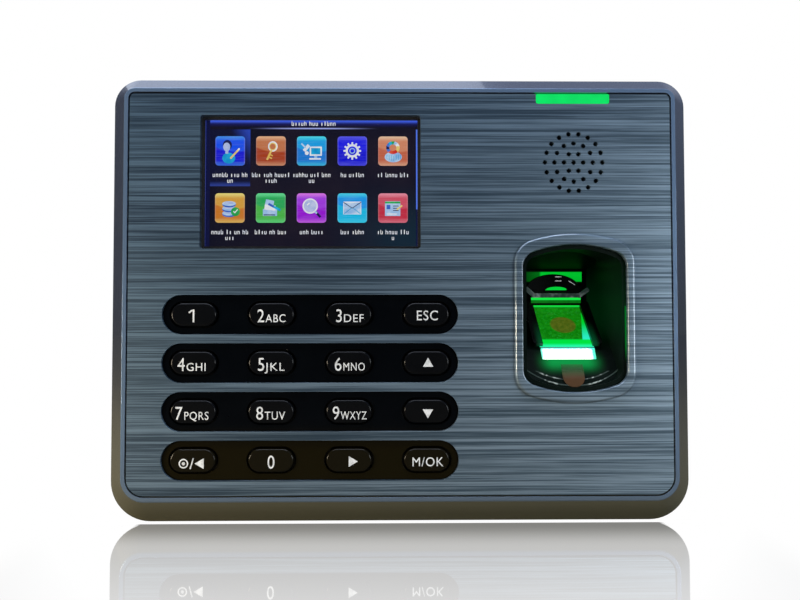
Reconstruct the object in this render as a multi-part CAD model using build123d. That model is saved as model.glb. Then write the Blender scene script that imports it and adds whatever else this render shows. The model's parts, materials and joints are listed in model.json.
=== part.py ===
import os
from math import cos, radians, sin, tan

from build123d import *

os.makedirs("parts", exist_ok=True)

# A wall-mounted fingerprint terminal. Millimetres: X runs along the width, Y from the front
# to the wall, Z up. The origin is the middle of the space that the terminal stands on.

# ---- Driving dimensions ----

# Overall
case_width = 180.0
case_height = 138.0
case_depth = 37.0          # from the crest of the bead round the well to the tip of the tamper pin

# Housing
case_wall = 2.5
upper_corner = 8.3         # outer corners
lower_corner = 12.4
side_bevel = 5.0           # width of the front bevels, seen from the front
top_bevel = 4.2
bottom_bevel = 7.4
bevel_depth = 5.0
rim_land = 1.1             # flat rim inside the bevels
ledge_width = 2.5          # shelf behind the edge of the face panel
ledge_thickness = 2.0
cover_depth = 10.0
cover_wall = 2.2
cover_taper = 4.0
shadow_gap = 0.6           # groove along the parting line
tongue_wall = 1.2
tongue_reach = 2.0
boss_radius = 3.5
boss_inset_x = 14.0        # case screws, from the sides, the bottom and the top of the case
boss_inset_low = 15.5
boss_inset_high = 14.0
rib_thickness = 2.0

# Face panel
panel_gap = 0.45
panel_recess = 0.2
panel_thickness = 2.0
panel_upper_corner = 1.6
panel_lower_corner = 5.3

# Display, placed from the panel's left and top edges
window_width = 67.9
window_height = 41.4
window_from_left = 21.7
window_from_top = 6.65
window_corner = 1.0
screen_margin = 0.3        # the screen is this much larger than the window, all round
screen_thickness = 1.2
display_border = 3.2
backlight_thickness = 1.4

# Keypad, placed from the panel's left and bottom edges
strip_height = 12.1
strip_from_left = 10.35
strip_recess = 0.7         # face of the strips behind the face of the panel
row_pitch = 14.8
column_pitch = 23.7
first_row_up = 10.65       # centre of the lowest row, from the panel's lower edge
strip_end = 9.8            # outer key centres, from the strip's round ends
key_width = 13.8
key_height = 7.0
key_gap = 0.6
key_stand = 0.9            # key face in front of the strip
key_flange = 1.2
key_flange_thickness = 1.0
frame_thickness = 1.4
dome_height = 1.5
mat_thickness = 1.0
board_thickness = 1.6

# Speaker, placed from the panel's right and top edges
speaker_from_right = 29.95
speaker_from_top = 21.35
speaker_radius = 14.0
speaker_hole_radius = 0.72
speaker_ring_pitch = 2.97

# Status light, at the panel's top edge
light_width = 22.7
light_height = 2.95
light_from_right = 30.1

# Finger well, placed from the panel's right and bottom edges
well_width = 32.1
well_height = 45.3
well_bow = 3.55            # rise of the curved top and bottom edges
well_corner = 5.0
well_from_right = 30.0
well_up = 53.8
well_depth = 25.0
well_side_gap = 1.1        # between the sensor's frame and the lining, at the back wall
well_wall = 1.2
well_ceiling_drop = 4.7
bead_width = 2.5
bead_extra = 0.95          # the bead is wider above and below than at the sides
bead_height = 1.0

# Optical sensor
platen_width = 17.0
platen_length = 20.6
platen_tilt = 41.0         # degrees up from level
platen_depth = 16.25       # centre of the glass, behind the panel's face
platen_drop = 2.5          # centre of the glass, below the centre of the well
sensor_border = 2.6
sensor_rim = 1.2
stop_height = 8.0
stop_thickness = 1.4
led_bar_height = 3.6

# Main board and its sockets
main_board_width = 104.0
main_board_height = 118.0
main_board_from_left = 20.0   # from the side and the bottom of the case
main_board_up = 6.0
socket_height = 11.5
board_hole_inset = 4.5

# Cable bay in the rear cover
bay_width = 80.0
bay_height = 28.0
bay_left = -50.0
bay_up = 16.0
bay_wall = 1.6

# Wall plate
plate_width = 140.0
plate_height = 112.0
plate_thickness = 1.5
plate_up = 13.0
plate_corner = 4.0
plate_screw_x = 120.0
plate_screw_z = 80.0
plate_screw_radius = 2.1
hook_width = 8.0
hook_lip = 3.0
hook_spread = 84.0
lock_tab_width = 16.0
lock_tab_reach = 9.0

# Tamper pin and reset pin
pin_radius = 2.0
pin_reach = 1.5
pin_clearance = 0.3
tamper_from_left = 70.0    # both pins, from the main board's left and bottom edges
tamper_up = 68.0
reset_from_left = 85.0
reset_up = 54.0
reset_radius = 1.4

# Screws
case_screw_radius = 1.45
board_screw_radius = 1.2
lock_screw_radius = 1.45
thread_gap = 0.05
fit_gap = 0.15

# ---- Places worked out from the driving dimensions ----

front_y = -case_depth / 2
panel_y = front_y + bead_height
land_y = panel_y - panel_recess
panel_back = panel_y + panel_thickness
ledge_back = panel_back + ledge_thickness
shoulder_y = land_y + bevel_depth
plate_back = case_depth / 2 - pin_reach
plate_front = plate_back - plate_thickness
split_y = plate_front - cover_depth
cover_inner = plate_front - cover_wall
board_back = cover_inner - socket_height - fit_gap
board_front = board_back - board_thickness

rim_inset = rim_land + panel_gap
panel_left = -case_width / 2 + side_bevel + rim_inset
panel_right = -panel_left
panel_bottom = bottom_bevel + rim_inset
panel_top = case_height - top_bevel - rim_inset

screen_width = window_width + 2 * screen_margin
screen_height = window_height + 2 * screen_margin
window_left = panel_left + window_from_left
window_top = panel_top - window_from_top
window_x = window_left + window_width / 2
window_z = window_top - window_height / 2

strip_left = panel_left + strip_from_left
strip_width = 2 * strip_end + 3 * column_pitch
key_columns = [strip_left + strip_end + i * column_pitch for i in range(4)]
key_rows = [panel_bottom + first_row_up + i * row_pitch for i in (3, 2, 1, 0)]
strip_x = strip_left + strip_width / 2
strip_front = panel_y + strip_recess
key_front = strip_front - key_stand
frame_back = panel_back + frame_thickness
key_back = frame_back + thread_gap + key_flange_thickness
mat_front = key_back + thread_gap + dome_height
keypad_front = mat_front + mat_thickness
keypad_back = keypad_front + board_thickness

speaker_x = panel_right - speaker_from_right
speaker_z = panel_top - speaker_from_top
light_x = panel_right - light_from_right

well_back_width = platen_width + 2 * (sensor_border + well_side_gap)
well_x = panel_right - well_from_right
well_z = panel_bottom + well_up
well_back = panel_y + well_depth
platen_y = panel_y + platen_depth
platen_z = well_z - platen_drop
slope_y = cos(radians(platen_tilt))
slope_z = sin(radians(platen_tilt))
platen_plane = Plane(
    origin=(well_x, platen_y, platen_z),
    x_dir=(1, 0, 0),
    z_dir=(0, -slope_z, slope_y),
)
platen_low_y = platen_y - slope_y * platen_length / 2
platen_low_z = platen_z - slope_z * platen_length / 2
platen_high_y = platen_y + slope_y * platen_length / 2
platen_high_z = platen_z + slope_z * platen_length / 2

board_left = -case_width / 2 + main_board_from_left
board_right = board_left + main_board_width
board_low = main_board_up
board_top = main_board_up + main_board_height
tamper_x = board_left + tamper_from_left
tamper_z = board_low + tamper_up
reset_x = board_left + reset_from_left
reset_z = board_low + reset_up
bay_right = bay_left + bay_width
bay_top = bay_up + bay_height
bay_floor = board_back + fit_gap + bay_wall
plate_x_holes = (-plate_screw_x / 2, plate_screw_x / 2)
plate_middle_z = plate_up + plate_height / 2
plate_z_holes = (plate_middle_z - plate_screw_z / 2, plate_middle_z + plate_screw_z / 2)
hook_rows = (plate_middle_z - 8.0, plate_middle_z + 34.0)

case_screws_at = [
    (side * (case_width / 2 - boss_inset_x), z)
    for side in (-1, 1)
    for z in (boss_inset_low, case_height - boss_inset_high)
]
board_screws_at = [
    (x, z)
    for x in (board_left + board_hole_inset, board_right - board_hole_inset)
    for z in (board_low + board_hole_inset, board_top - board_hole_inset)
]

# Sockets on the main board: name, left side, width, height off the board, length upwards
sockets = {
    "power_socket": (bay_left + 2.0, 9.0, socket_height - 0.6, 14.0),
    "network_socket": (bay_left + 16.0, 16.0, socket_height, 16.0),
    "terminal_block": (bay_left + 41.0, 32.0, 9.0, 12.0),
}
usb_width = 13.2
usb_height = 5.8
usb_length = 14.0
usb_tongue_inset = 1.7
usb_x = board_left + 20.0


# ---- Ways to make a solid ----

def facing(y):
    """A plane across the depth, drawn on in X and Z, that looks to the front."""
    return Plane(origin=(0, y, 0), x_dir=(1, 0, 0), z_dir=(0, -1, 0))


def slab(outline, front, back):
    """The outline as a plate between two depths."""
    return extrude(facing(back) * outline, amount=back - front)


def block(left, right, front, back, low, high):
    """A box given by its six sides."""
    size = (right - left, back - front, high - low)
    middle = ((left + right) / 2, (front + back) / 2, (low + high) / 2)
    return Pos(*middle) * Box(*size)


def rounded(left, right, low, high, lower_radius, upper_radius):
    """A rectangle in X and Z whose lower and upper corners have their own radii."""
    shape = Pos((left + right) / 2, (low + high) / 2) * Rectangle(right - left, high - low)
    shape = fillet(shape.vertices().group_by(Axis.Y)[0], lower_radius)
    return fillet(shape.vertices().group_by(Axis.Y)[-1], upper_radius)


def turned(profile, x, z):
    """A turned piece from its (radius, depth) profile, about an axis through x and z."""
    return Pos(x, 0, z) * revolve(make_face(Polyline(*profile, close=True)), Axis.Y)


def rod(x, z, radius, front, back):
    """A round bar along the depth."""
    return slab(Pos(x, z) * Circle(radius), front, back)


def across(profile, left, right):
    """A profile drawn in depth and height, carried from left to right."""
    return extrude(Plane.YZ.offset(left) * profile, amount=right - left)


def save(node, shape):
    """Writes one piece, or one group of separate like pieces, under its own name."""
    solids = shape if isinstance(shape, list) else [shape]
    group = solids[0] if len(solids) == 1 else Compound(children=list(solids))
    group.label = node
    export_step(group, f"parts/{node}.step")


# ---- Outlines ----

def case_outline(inset):
    half = case_width / 2 - inset
    lower = max(lower_corner - inset, 0.5)
    upper = max(upper_corner - inset, 0.5)
    return rounded(-half, half, inset, case_height - inset, lower, upper)


def land_outline():
    return panel_outline(rim_inset)


def panel_outline(grow):
    lower = max(panel_lower_corner + grow, 0.5)
    upper = max(panel_upper_corner + grow, 0.5)
    return rounded(
        panel_left - grow, panel_right + grow, panel_bottom - grow, panel_top + grow, lower, upper
    )


def window_outline(grow):
    corner = max(window_corner + grow, 0.3)
    half_width = window_width / 2 + grow
    half_height = window_height / 2 + grow
    return rounded(
        window_x - half_width, window_x + half_width,
        window_z - half_height, window_z + half_height, corner, corner,
    )


def strip_outline(row, shrink):
    pill = SlotOverall(strip_width - 2 * shrink, strip_height - 2 * shrink)
    return Pos(strip_x, row) * pill


def key_outline(x, z, grow):
    return Pos(x, z) * SlotOverall(key_width + 2 * grow, key_height + 2 * grow)


def bowed(width, height, bow, corner):
    """An upright shape with straight sides and arched top and bottom edges."""
    half = width / 2
    side = height / 2 - bow
    edges = Line((-half, -side), (-half, side))
    edges += ThreePointArc((-half, side), (0, height / 2), (half, side))
    edges += Line((half, side), (half, -side))
    edges += ThreePointArc((half, -side), (0, -height / 2), (-half, -side))
    shape = make_face(edges)
    return fillet(shape.vertices(), corner)


def well_outline(grow):
    corner = max(well_corner + grow, 1.0)
    shape = bowed(well_width + 2 * grow, well_height + 2 * grow, well_bow, corner)
    return Pos(well_x, well_z) * shape


def bead_outline():
    grow = bead_width
    height = well_height + 2 * (grow + bead_extra)
    shape = bowed(well_width + 2 * grow, height, well_bow + bead_extra / 2, well_corner + grow)
    return Pos(well_x, well_z) * shape


def light_outline(grow):
    half = light_width / 2 + grow
    low = panel_top - light_height - grow
    return rounded(light_x - half, light_x + half, low, panel_top + grow, 0.6 + grow, 0.3 + grow)


# ---- Housing ----

def front_bezel():
    """Front housing: bevelled frame, ledge for the face panel, and four screw bosses."""
    land = facing(land_y) * land_outline()
    shoulder = facing(shoulder_y) * case_outline(0)
    body = loft([land, shoulder], ruled=True) + slab(case_outline(0), shoulder_y, split_y)
    body -= slab(case_outline(case_wall), ledge_back, split_y)
    body -= slab(panel_outline(panel_gap), land_y, panel_back)
    body -= slab(panel_outline(-ledge_width), panel_back, ledge_back)
    rib_back = split_y - tongue_reach - 0.5
    for x, z in case_screws_at:
        side = 1 if x > 0 else -1
        wall = side * (case_width / 2 - case_wall / 2)
        left, right = sorted((x, wall))
        half = rib_thickness / 2
        body += block(left, right, ledge_back, rib_back, z - half, z + half)
        body += rod(x, z, boss_radius, ledge_back, split_y)
        body -= rod(x, z, case_screw_radius + thread_gap, split_y - 12.0, split_y)
    body -= slab(light_outline(fit_gap), panel_back - 1.0, ledge_back + 1.0)
    half = usb_width / 2 + 0.2
    front = board_front - usb_height - 0.2
    body -= block(usb_x - half, usb_x + half, front, board_front + 0.2, -1.0, case_wall + 1.0)
    return body


def rear_cover():
    """Rear cover: tapered shell with the cable bay, hook slots, vents and board posts."""
    straight = split_y + 3.0
    body = slab(case_outline(0.5), split_y, split_y + shadow_gap)
    body += slab(case_outline(0), split_y + shadow_gap, straight)
    body += loft(
        [facing(straight) * case_outline(0), facing(plate_front) * case_outline(cover_taper)],
        ruled=True,
    )
    inner = case_wall + fit_gap + tongue_wall
    cavity = slab(case_outline(inner), split_y - 1.0, straight)
    cavity += loft(
        [
            facing(straight) * case_outline(inner),
            facing(cover_inner) * case_outline(inner + cover_taper),
        ],
        ruled=True,
    )
    body -= cavity
    tongue = slab(case_outline(case_wall + fit_gap), split_y - tongue_reach, split_y + 0.5)
    tongue -= slab(case_outline(inner), split_y - tongue_reach, split_y + 0.5)
    body += tongue
    body += cable_bay_walls()
    body -= slab(bay_outline(0), bay_floor, plate_front)
    for left, width, height, length in sockets.values():
        gap = fit_gap
        body -= block(
            left - gap, left + width + gap, board_back - 1.0, board_back + height + gap,
            bay_top - 0.5, bay_top + bay_wall + 0.5,
        )
    for x, z in board_screws_at:
        body += rod(x, z, 3.0, board_back, cover_inner + 0.5)
        body -= rod(x, z, board_screw_radius + thread_gap, board_back, board_back + 7.0)
    for x, z in case_screws_at:
        body += rod(x, z, 4.6, split_y, cover_inner + 0.5)
        body -= rod(x, z, 3.1, split_y + 2.2, plate_front)
        body -= rod(x, z, case_screw_radius + 0.25, split_y, split_y + 2.2)
    for x in plate_x_holes:
        for z in plate_z_holes:
            body += rod(x, z, 6.4, cover_inner - 2.0, cover_inner + 0.5)
            body -= rod(x, z, 5.0, plate_front - 3.0, plate_front)
    for z in hook_rows:
        for x in (-hook_spread / 2, hook_spread / 2):
            half = hook_width / 2 + 0.5
            low = z - hook_lip - 0.3
            body -= block(x - half, x + half, cover_inner, plate_front, low, z + plate_thickness + 0.1)
    body -= rod(tamper_x, tamper_z, pin_radius + pin_clearance, cover_inner, plate_front)
    body += rod(reset_x, reset_z, 3.4, plate_front - 5.0, cover_inner + 0.5)
    body -= rod(reset_x, reset_z, reset_radius + pin_clearance, plate_front - 5.0, plate_front)
    body -= lock_recess()
    body -= vents()
    return body


def bay_outline(grow):
    corner = max(1.5 + grow, 0.5)
    return rounded(
        bay_left - grow, bay_right + grow, bay_up - grow, bay_top + grow, corner, corner
    )


def cable_bay_walls():
    """The sunk box in the rear cover where the plugs are."""
    return slab(bay_outline(bay_wall), bay_floor - bay_wall, cover_inner + 0.5)


def lock_recess():
    """Room under the rear cover for the wall plate's lower tab and its screw."""
    half = lock_tab_width / 2 + 0.5
    top = lock_tab_z() + plate_thickness + 0.1
    front = plate_front - lock_tab_reach - 0.3
    recess = block(-half, half, front, plate_front, -1.0, top)
    screw = Cylinder(lock_screw_radius + thread_gap, 8.0)
    return recess + Pos(0, lock_screw_y(), top + 3.0) * screw


def lock_tab_z():
    return cover_taper + 0.4


def lock_screw_y():
    return plate_front - lock_tab_reach + 4.0


def vents():
    """Two fields of upright slots high on the back."""
    slots = []
    for x in (-40.0, 40.0):
        for i in range(-3, 4):
            slot = Pos(x + i * 4.0, case_height - 22.0) * Rot(0, 0, 90) * SlotOverall(12.0, 1.6)
            slots.append(slab(slot, cover_inner - 0.5, plate_front))
    return slots


# ---- Face ----

def face_panel():
    """Brushed face panel with its openings and the bead round the finger well."""
    panel = slab(panel_outline(0), panel_y, panel_back)
    bead = slab(bead_outline(), front_y, panel_y)
    crest = bead.faces().sort_by(Axis.Y)[0]
    bead = fillet(crest.edges(), min(0.8, 0.8 * bead_height))
    panel += bead
    panel -= slab(well_outline(0), front_y, panel_back)
    mouth = panel.faces().sort_by(Axis.Y)[0].inner_wires()[0]
    panel = fillet(mouth.edges(), 0.35)
    panel -= slab(window_outline(0), panel_y, panel_back)
    for row in key_rows:
        panel -= slab(strip_outline(row, 0), panel_y, panel_back)
    notch_half = light_width / 2 + 0.1
    panel -= slab(
        rounded(
            light_x - notch_half, light_x + notch_half,
            panel_top - light_height - 0.1, panel_top + 5.0, 0.7, 0.3,
        ),
        panel_y, panel_back,
    )
    holes = [Circle(speaker_hole_radius)]
    for ring in (1, 2, 3):
        holes += PolarLocations(ring * speaker_ring_pitch, 6 * ring) * Circle(speaker_hole_radius)
    for hole in holes:
        panel -= slab(Pos(speaker_x, speaker_z) * hole, panel_y, panel_back)
    return panel


def status_light_guide():
    """Clear bar that shows the status light, from the panel's edge back to its lamps."""
    bar = slab(light_outline(0), panel_y + 0.05, ledge_back + 1.0)
    return bar


def status_light_board():
    """Small board with three lamps behind the light guide."""
    front = ledge_back + 2.0
    low = panel_top - light_height - 3.6
    high = case_height - case_wall - 0.6
    board = block(light_x - 12.5, light_x + 12.5, front, front + 1.2, low, high)
    lamps = []
    for step in (-7.5, 0.0, 7.5):
        x = light_x + step
        z = panel_top - light_height / 2
        lamps.append(block(x - 1.6, x + 1.6, front - 0.8, front, z - 1.2, z + 1.2))
    for lamp in lamps:
        board += lamp
    return board


# ---- Display ----

def display_pieces():
    """Window, gasket, screen, metal frame and backlight, from front to back."""
    gasket_back = panel_back + 0.6
    screen_back = gasket_back + 0.4 + screen_thickness
    light_back = screen_back + 0.1 + backlight_thickness
    save("display_window", slab(window_outline(-fit_gap), panel_y + 0.15, panel_back))

    half_width = screen_width / 2 + display_border
    half_height = screen_height / 2 + display_border
    outer = Pos(window_x, window_z) * RectangleRounded(2 * half_width, 2 * half_height, 1.0)
    view = Pos(window_x, window_z) * Rectangle(screen_width - 2.4, screen_height - 2.4)
    gasket = slab(outer, panel_back, gasket_back) - slab(view, panel_back, gasket_back)
    save("display_gasket", gasket)

    can = slab(outer, gasket_back, light_back + 0.6) - slab(view, gasket_back, gasket_back + 0.4)
    room = Pos(window_x, window_z) * Rectangle(screen_width + 0.4, screen_height + 0.4)
    can -= slab(room, gasket_back + 0.4, light_back)
    save("display_frame", can)

    glass = Pos(window_x, window_z) * Rectangle(screen_width, screen_height)
    save("display_screen", slab(glass, gasket_back + 0.4, screen_back))
    save("display_backlight", slab(glass, screen_back + 0.1, light_back))
    return light_back + 0.6


# ---- Keypad ----

key_names = [
    ["key_1", "key_2", "key_3", "key_esc"],
    ["key_4", "key_5", "key_6", "key_up"],
    ["key_7", "key_8", "key_9", "key_down"],
    ["key_power", "key_0", "key_right", "key_ok"],
]


def key_places():
    for names, z in zip(key_names, key_rows):
        for name, x in zip(names, key_columns):
            yield name, x, z


def keypad_frame():
    """Gloss black frame: four long strips that show through the panel, on one back plate."""
    margin = 1.6
    low = key_rows[-1] - strip_height / 2 - margin
    high = key_rows[0] + strip_height / 2 + margin
    left = strip_left - margin
    right = strip_left + strip_width + margin
    frame = slab(rounded(left, right, low, high, 3.0, 3.0), panel_back, frame_back)
    for row in key_rows:
        frame += slab(strip_outline(row, 0.12), strip_front, panel_back)
    for _, x, z in key_places():
        frame -= slab(key_outline(x, z, key_gap), strip_front, frame_back)
    return frame


def key_cap(x, z):
    """One key: a pill-shaped cap with a softened face, on a wider flange."""
    cap = slab(key_outline(x, z, 0), key_front, key_back)
    face = cap.faces().sort_by(Axis.Y)[0]
    cap = fillet(face.edges(), 0.55)
    flange_front = key_back - key_flange_thickness
    return cap + slab(key_outline(x, z, key_flange), flange_front, key_back)


def keypad_area(grow):
    left = key_columns[0] - key_width / 2 - grow
    right = key_columns[-1] + key_width / 2 + grow
    low = key_rows[-1] - key_height / 2 - grow
    high = key_rows[0] + key_height / 2 + grow
    return rounded(left, right, low, high, 1.0, 1.0)


def keypad_mat():
    """Silicone mat with one dome under each key."""
    mat = slab(keypad_area(0.6), mat_front, keypad_front)
    for _, x, z in key_places():
        base = facing(mat_front) * Pos(x, z) * SlotOverall(10.0, 5.4)
        mat += extrude(base, amount=dome_height, taper=24)
    return mat


def keypad_board():
    """Circuit board under the mat, with the socket of its flat cable on the back."""
    board = slab(keypad_area(0.6), keypad_front, keypad_back)
    x, z = keypad_socket_at()
    return board + block(x - 8.0, x + 8.0, keypad_back, keypad_back + 2.0, z - 2.0, z + 2.0)


def keypad_socket_at():
    return key_columns[1], key_rows[0] - row_pitch / 2


# ---- Speaker ----

def speaker_pieces():
    """Dust mesh, gasket ring, basket, cone and magnet on the speaker's axis."""
    r = speaker_radius
    mesh_back = panel_back + 0.2
    ring_back = mesh_back + 1.0
    flange_back = ring_back + 1.0
    can_back = flange_back + 4.0
    save("speaker_mesh", rod(speaker_x, speaker_z, r - 0.5, panel_back, mesh_back))
    ring = [(r - 2.5, mesh_back), (r, mesh_back), (r, ring_back), (r - 2.5, ring_back)]
    save("speaker_gasket", turned(ring, speaker_x, speaker_z))
    basket = [
        (r - 2.5, ring_back), (r, ring_back), (r, flange_back), (r - 1.6, flange_back),
        (r - 4.8, can_back), (4.0, can_back), (4.0, can_back - 0.9), (r - 5.4, can_back - 0.9),
        (r - 2.5, flange_back - 0.2),
    ]
    save("speaker_frame", turned(basket, speaker_x, speaker_z))
    cone_front = ring_back + 0.2
    cone = [
        (0, cone_front + 1.2), (2.2, cone_front + 1.6), (3.4, cone_front + 2.8),
        (r - 3.3, cone_front + 0.2), (r - 3.0, cone_front), (r - 2.7, cone_front + 0.3),
        (r - 2.75, cone_front + 0.7), (3.4, cone_front + 3.3), (2.9, cone_front + 3.3),
        (1.9, cone_front + 2.1), (0, cone_front + 1.6),
    ]
    save("speaker_cone", turned(cone, speaker_x, speaker_z))
    save("speaker_magnet", rod(speaker_x, speaker_z, r - 5.5, can_back, can_back + 4.0))
    return can_back + 4.0


# ---- Finger well and sensor ----

def well_profile(grow):
    """Side view of the well: mouth, ceiling, back wall, sloping floor and lower lip."""
    top = well_z + well_height / 2 - well_wall
    low = well_z - well_height / 2 + well_wall
    lift = 0.6                                    # the floor lies behind the glass
    high_y = platen_high_y + lift * slope_z
    floor_z = platen_high_z - lift * slope_y + (well_back - high_y) * tan(radians(platen_tilt))
    lip_y = platen_low_y - 2.2
    lip_z = platen_low_z - led_bar_height - 0.2
    shape = make_face(Polyline(
        (front_y - 4.0, top + 6.0), (panel_y + 1.0, top + 2.0),
        (well_back, top - well_ceiling_drop), (well_back, floor_z),
        (platen_low_y + 0.6, platen_low_z - 0.6), (lip_y, lip_z),
        (panel_y + 2.6, low + 2.4), (panel_y + 1.0, low - 2.0), (front_y - 4.0, low - 6.0),
        close=True,
    ))
    if grow:
        shape = offset(shape, amount=grow, kind=Kind.INTERSECTION)
    return shape


def well_funnel(grow, front):
    """The well's plan: it narrows from the mouth to the back wall."""
    mouth = facing(front) * well_outline(grow)
    back_shape = bowed(
        well_back_width + 2 * (grow + well_wall + 0.1), well_height + 2 * grow, 2.0, 3.0
    )
    back = facing(well_back + 6.0) * Pos(well_x, well_z) * back_shape
    return loft([mouth, back], ruled=True)


def finger_well():
    """Black lining of the well: one moulded wall with a window for the sensor."""
    front = panel_y + 0.3
    side = well_width
    outer = well_funnel(-0.1, front) & across(
        well_profile(well_wall), well_x - side, well_x + side
    )
    inner = well_funnel(-0.1 - well_wall, front) & across(
        well_profile(0), well_x - side, well_x + side
    )
    lining = outer - inner
    half = platen_width / 2 + 0.15
    reach = platen_length / 2
    cut = extrude(platen_plane.offset(-6.0) * Rectangle(2 * half, 2 * reach), amount=9.0)
    lining -= cut
    lining -= led_window()
    return lining


def led_window():
    """Gap in the lining for the lamp bar along the glass's lower edge."""
    half = platen_width / 2 + 0.15
    return across(led_profile(0.15), well_x - half, well_x + half)


def led_profile(grow):
    y = platen_low_y
    z = platen_low_z
    shape = make_face(Polyline(
        (y - 0.1, z - 0.2), (y - 2.0, z - led_bar_height),
        (y + 1.2, z - led_bar_height - 1.2), (y + 3.0, z - 2.0),
        close=True,
    ))
    if grow:
        shape = offset(shape, amount=grow, kind=Kind.INTERSECTION)
    return shape


def sensor_led_bar():
    half = platen_width / 2
    return across(led_profile(0), well_x - half, well_x + half)


def sensor_prism():
    """Glass prism: its long face is the platen that the finger rests on."""
    half = platen_width / 2
    face = make_face(Polyline(
        (platen_low_y + 0.3, platen_low_z + 0.05), (platen_high_y, platen_high_z),
        (platen_high_y, platen_low_z + 0.05),
        close=True,
    ))
    return across(face, well_x - half, well_x + half)


def sensor_frame():
    """Frame round the glass, with the arched stop for the fingertip at its far end."""
    width = platen_width + 2 * sensor_border
    top = platen_length / 2 + 1.2
    low = -platen_length / 2 + 0.4
    outline = Pos(0, (top + low) / 2) * RectangleRounded(width, top - low, 1.2)
    frame = extrude(platen_plane.offset(0.05) * outline, amount=sensor_rim)
    view = Pos(0, -1.0) * Rectangle(platen_width - 1.0, platen_length + 1.0)
    frame -= extrude(platen_plane.offset(-1.0) * view, amount=4.0)
    half = platen_width / 2 + 0.3
    low_z = platen_high_z + 0.6
    side_z = low_z + 0.72 * stop_height
    edges = Polyline((-half, side_z), (-half, low_z), (half, low_z), (half, side_z))
    edges += ThreePointArc((half, side_z), (0, low_z + stop_height), (-half, side_z))
    stop_back = well_back - 0.15
    stop = slab(Pos(well_x, 0) * make_face(edges), stop_back - stop_thickness, stop_back)
    return frame + stop


def sensor_housing():
    """Black box that holds the prism and the lens, open on top for the glass."""
    half = platen_width / 2 + 2.0
    front = platen_low_y + 4.0
    back = platen_high_y + 2.0
    low = platen_low_z - 16.0
    high = platen_low_z - 0.1
    box = block(well_x - half, well_x + half, front, back, low, high)
    box -= block(well_x - half + 1.4, well_x + half - 1.4, front + 1.4, back - 1.4, low + 1.4, high)
    lens_y = (front + back) / 2
    box -= Pos(well_x, lens_y, low) * Cylinder(4.2, 8.0)
    return box


def sensor_lens():
    """Lens barrel that looks up at the prism."""
    lens_y = (platen_low_y + 4.0 + platen_high_y + 2.0) / 2
    low = platen_low_z - 19.4
    barrel = Pos(well_x, lens_y, low + 4.0) * Cylinder(4.0, 8.0)
    ring = Pos(well_x, lens_y, low + 8.6) * Cylinder(3.2, 1.2)
    return barrel + ring


def sensor_board():
    """Board under the lens, with the image chip's socket below."""
    lens_y = (platen_low_y + 4.0 + platen_high_y + 2.0) / 2
    high = platen_low_z - 19.45
    board = block(well_x - 12.0, well_x + 12.0, lens_y - 9.0, lens_y + 9.0, high - 1.2, high)
    chip = block(well_x - 4.0, well_x + 4.0, lens_y - 4.0, lens_y + 4.0, high - 2.4, high - 1.2)
    return board + chip


def film_tab():
    """Pull tab of the protective film, lying on the well's lower lip."""
    lip = (panel_y + 2.6, well_z - well_height / 2 + well_wall + 2.4)
    upper = (platen_low_y - 2.2, platen_low_z - led_bar_height - 0.2)
    length = ((upper[0] - lip[0]) ** 2 + (upper[1] - lip[1]) ** 2) ** 0.5
    run_y = (upper[0] - lip[0]) / length
    run_z = (upper[1] - lip[1]) / length
    middle = ((upper[0] + lip[0]) / 2, (upper[1] + lip[1]) / 2)
    plane = Plane(
        origin=(well_x, middle[0], middle[1]), x_dir=(1, 0, 0), z_dir=(0, -run_z, run_y)
    )
    shape = RectangleRounded(6.4, length - 0.6, 1.6)
    return extrude(plane.offset(0.06) * shape, amount=0.2)


# ---- Boards, sockets and cables inside ----

def main_board():
    board = block(board_left, board_right, board_front, board_back, board_low, board_top)
    for x, z in board_screws_at:
        board -= rod(x, z, board_screw_radius + 0.25, board_front, board_back)
    return board


def board_chips():
    """Parts soldered to the main board, each its own solid."""
    x = board_left
    z = board_low
    parts = [
        (x + 38.0, 15.0, z + 84.0, 15.0, 1.4), (x + 62.0, 12.0, z + 86.0, 9.0, 1.2),
        (x + 62.0, 12.0, z + 98.0, 9.0, 1.2), (x + 14.0, 12.0, z + 92.0, 18.0, 2.6),
        (x + 80.0, 8.0, z + 62.0, 8.0, 1.0), (x + 30.0, 10.0, z + 64.0, 7.0, 3.0),
    ]
    chips = [
        block(left, left + width, board_back, board_back + height, low, low + tall)
        for left, width, low, tall, height in parts
    ]
    for left, low in ((x + 10.0, z + 66.0), (x + 19.0, z + 66.0), (x + 96.0, z + 102.0)):
        chips.append(rod(left, low, 3.1, board_back, board_back + 7.0))
    chips.append(rod(reset_x, reset_z, 2.6, board_back, board_back + 2.0))
    for connector_x, connector_z in (display_socket_at(), board_keypad_at()):
        chips.append(block(
            connector_x - 8.0, connector_x + 8.0, board_front - 2.2, board_front,
            connector_z - 2.0, connector_z + 2.0,
        ))
    return chips


def display_socket_at():
    return window_x, window_z - window_height / 2 + 1.6


def board_keypad_at():
    x, z = keypad_socket_at()
    return x, z - 8.0


def socket(name):
    """One socket on the main board, its mouth flush with the cable bay's upper wall."""
    left, width, height, length = sockets[name]
    right = left + width
    back = board_back + height
    low = bay_top
    shape = block(left, right, board_back, back, low, low + length)
    if name == "network_socket":
        shape -= block(left + 2.0, right - 2.0, board_back + 2.0, back - 2.4, low, low + 12.0)
        shape -= block(left + 5.0, right - 5.0, back - 2.4, back - 0.9, low, low + 5.0)
    elif name == "power_socket":
        x = (left + right) / 2
        y = (board_back + back) / 2
        shape -= Pos(x, y, low + 4.5) * Cylinder(3.0, 9.0)
        shape += Pos(x, y, low + 5.0) * Cylinder(1.0, 8.6)
    else:
        pitch = (width - 2.0) / 8
        for i in range(8):
            start = left + 1.4 + i * pitch
            shape -= block(start, start + pitch - 0.8, board_back + 1.6, back - 1.4, low, low + 7.0)
    return shape


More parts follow.
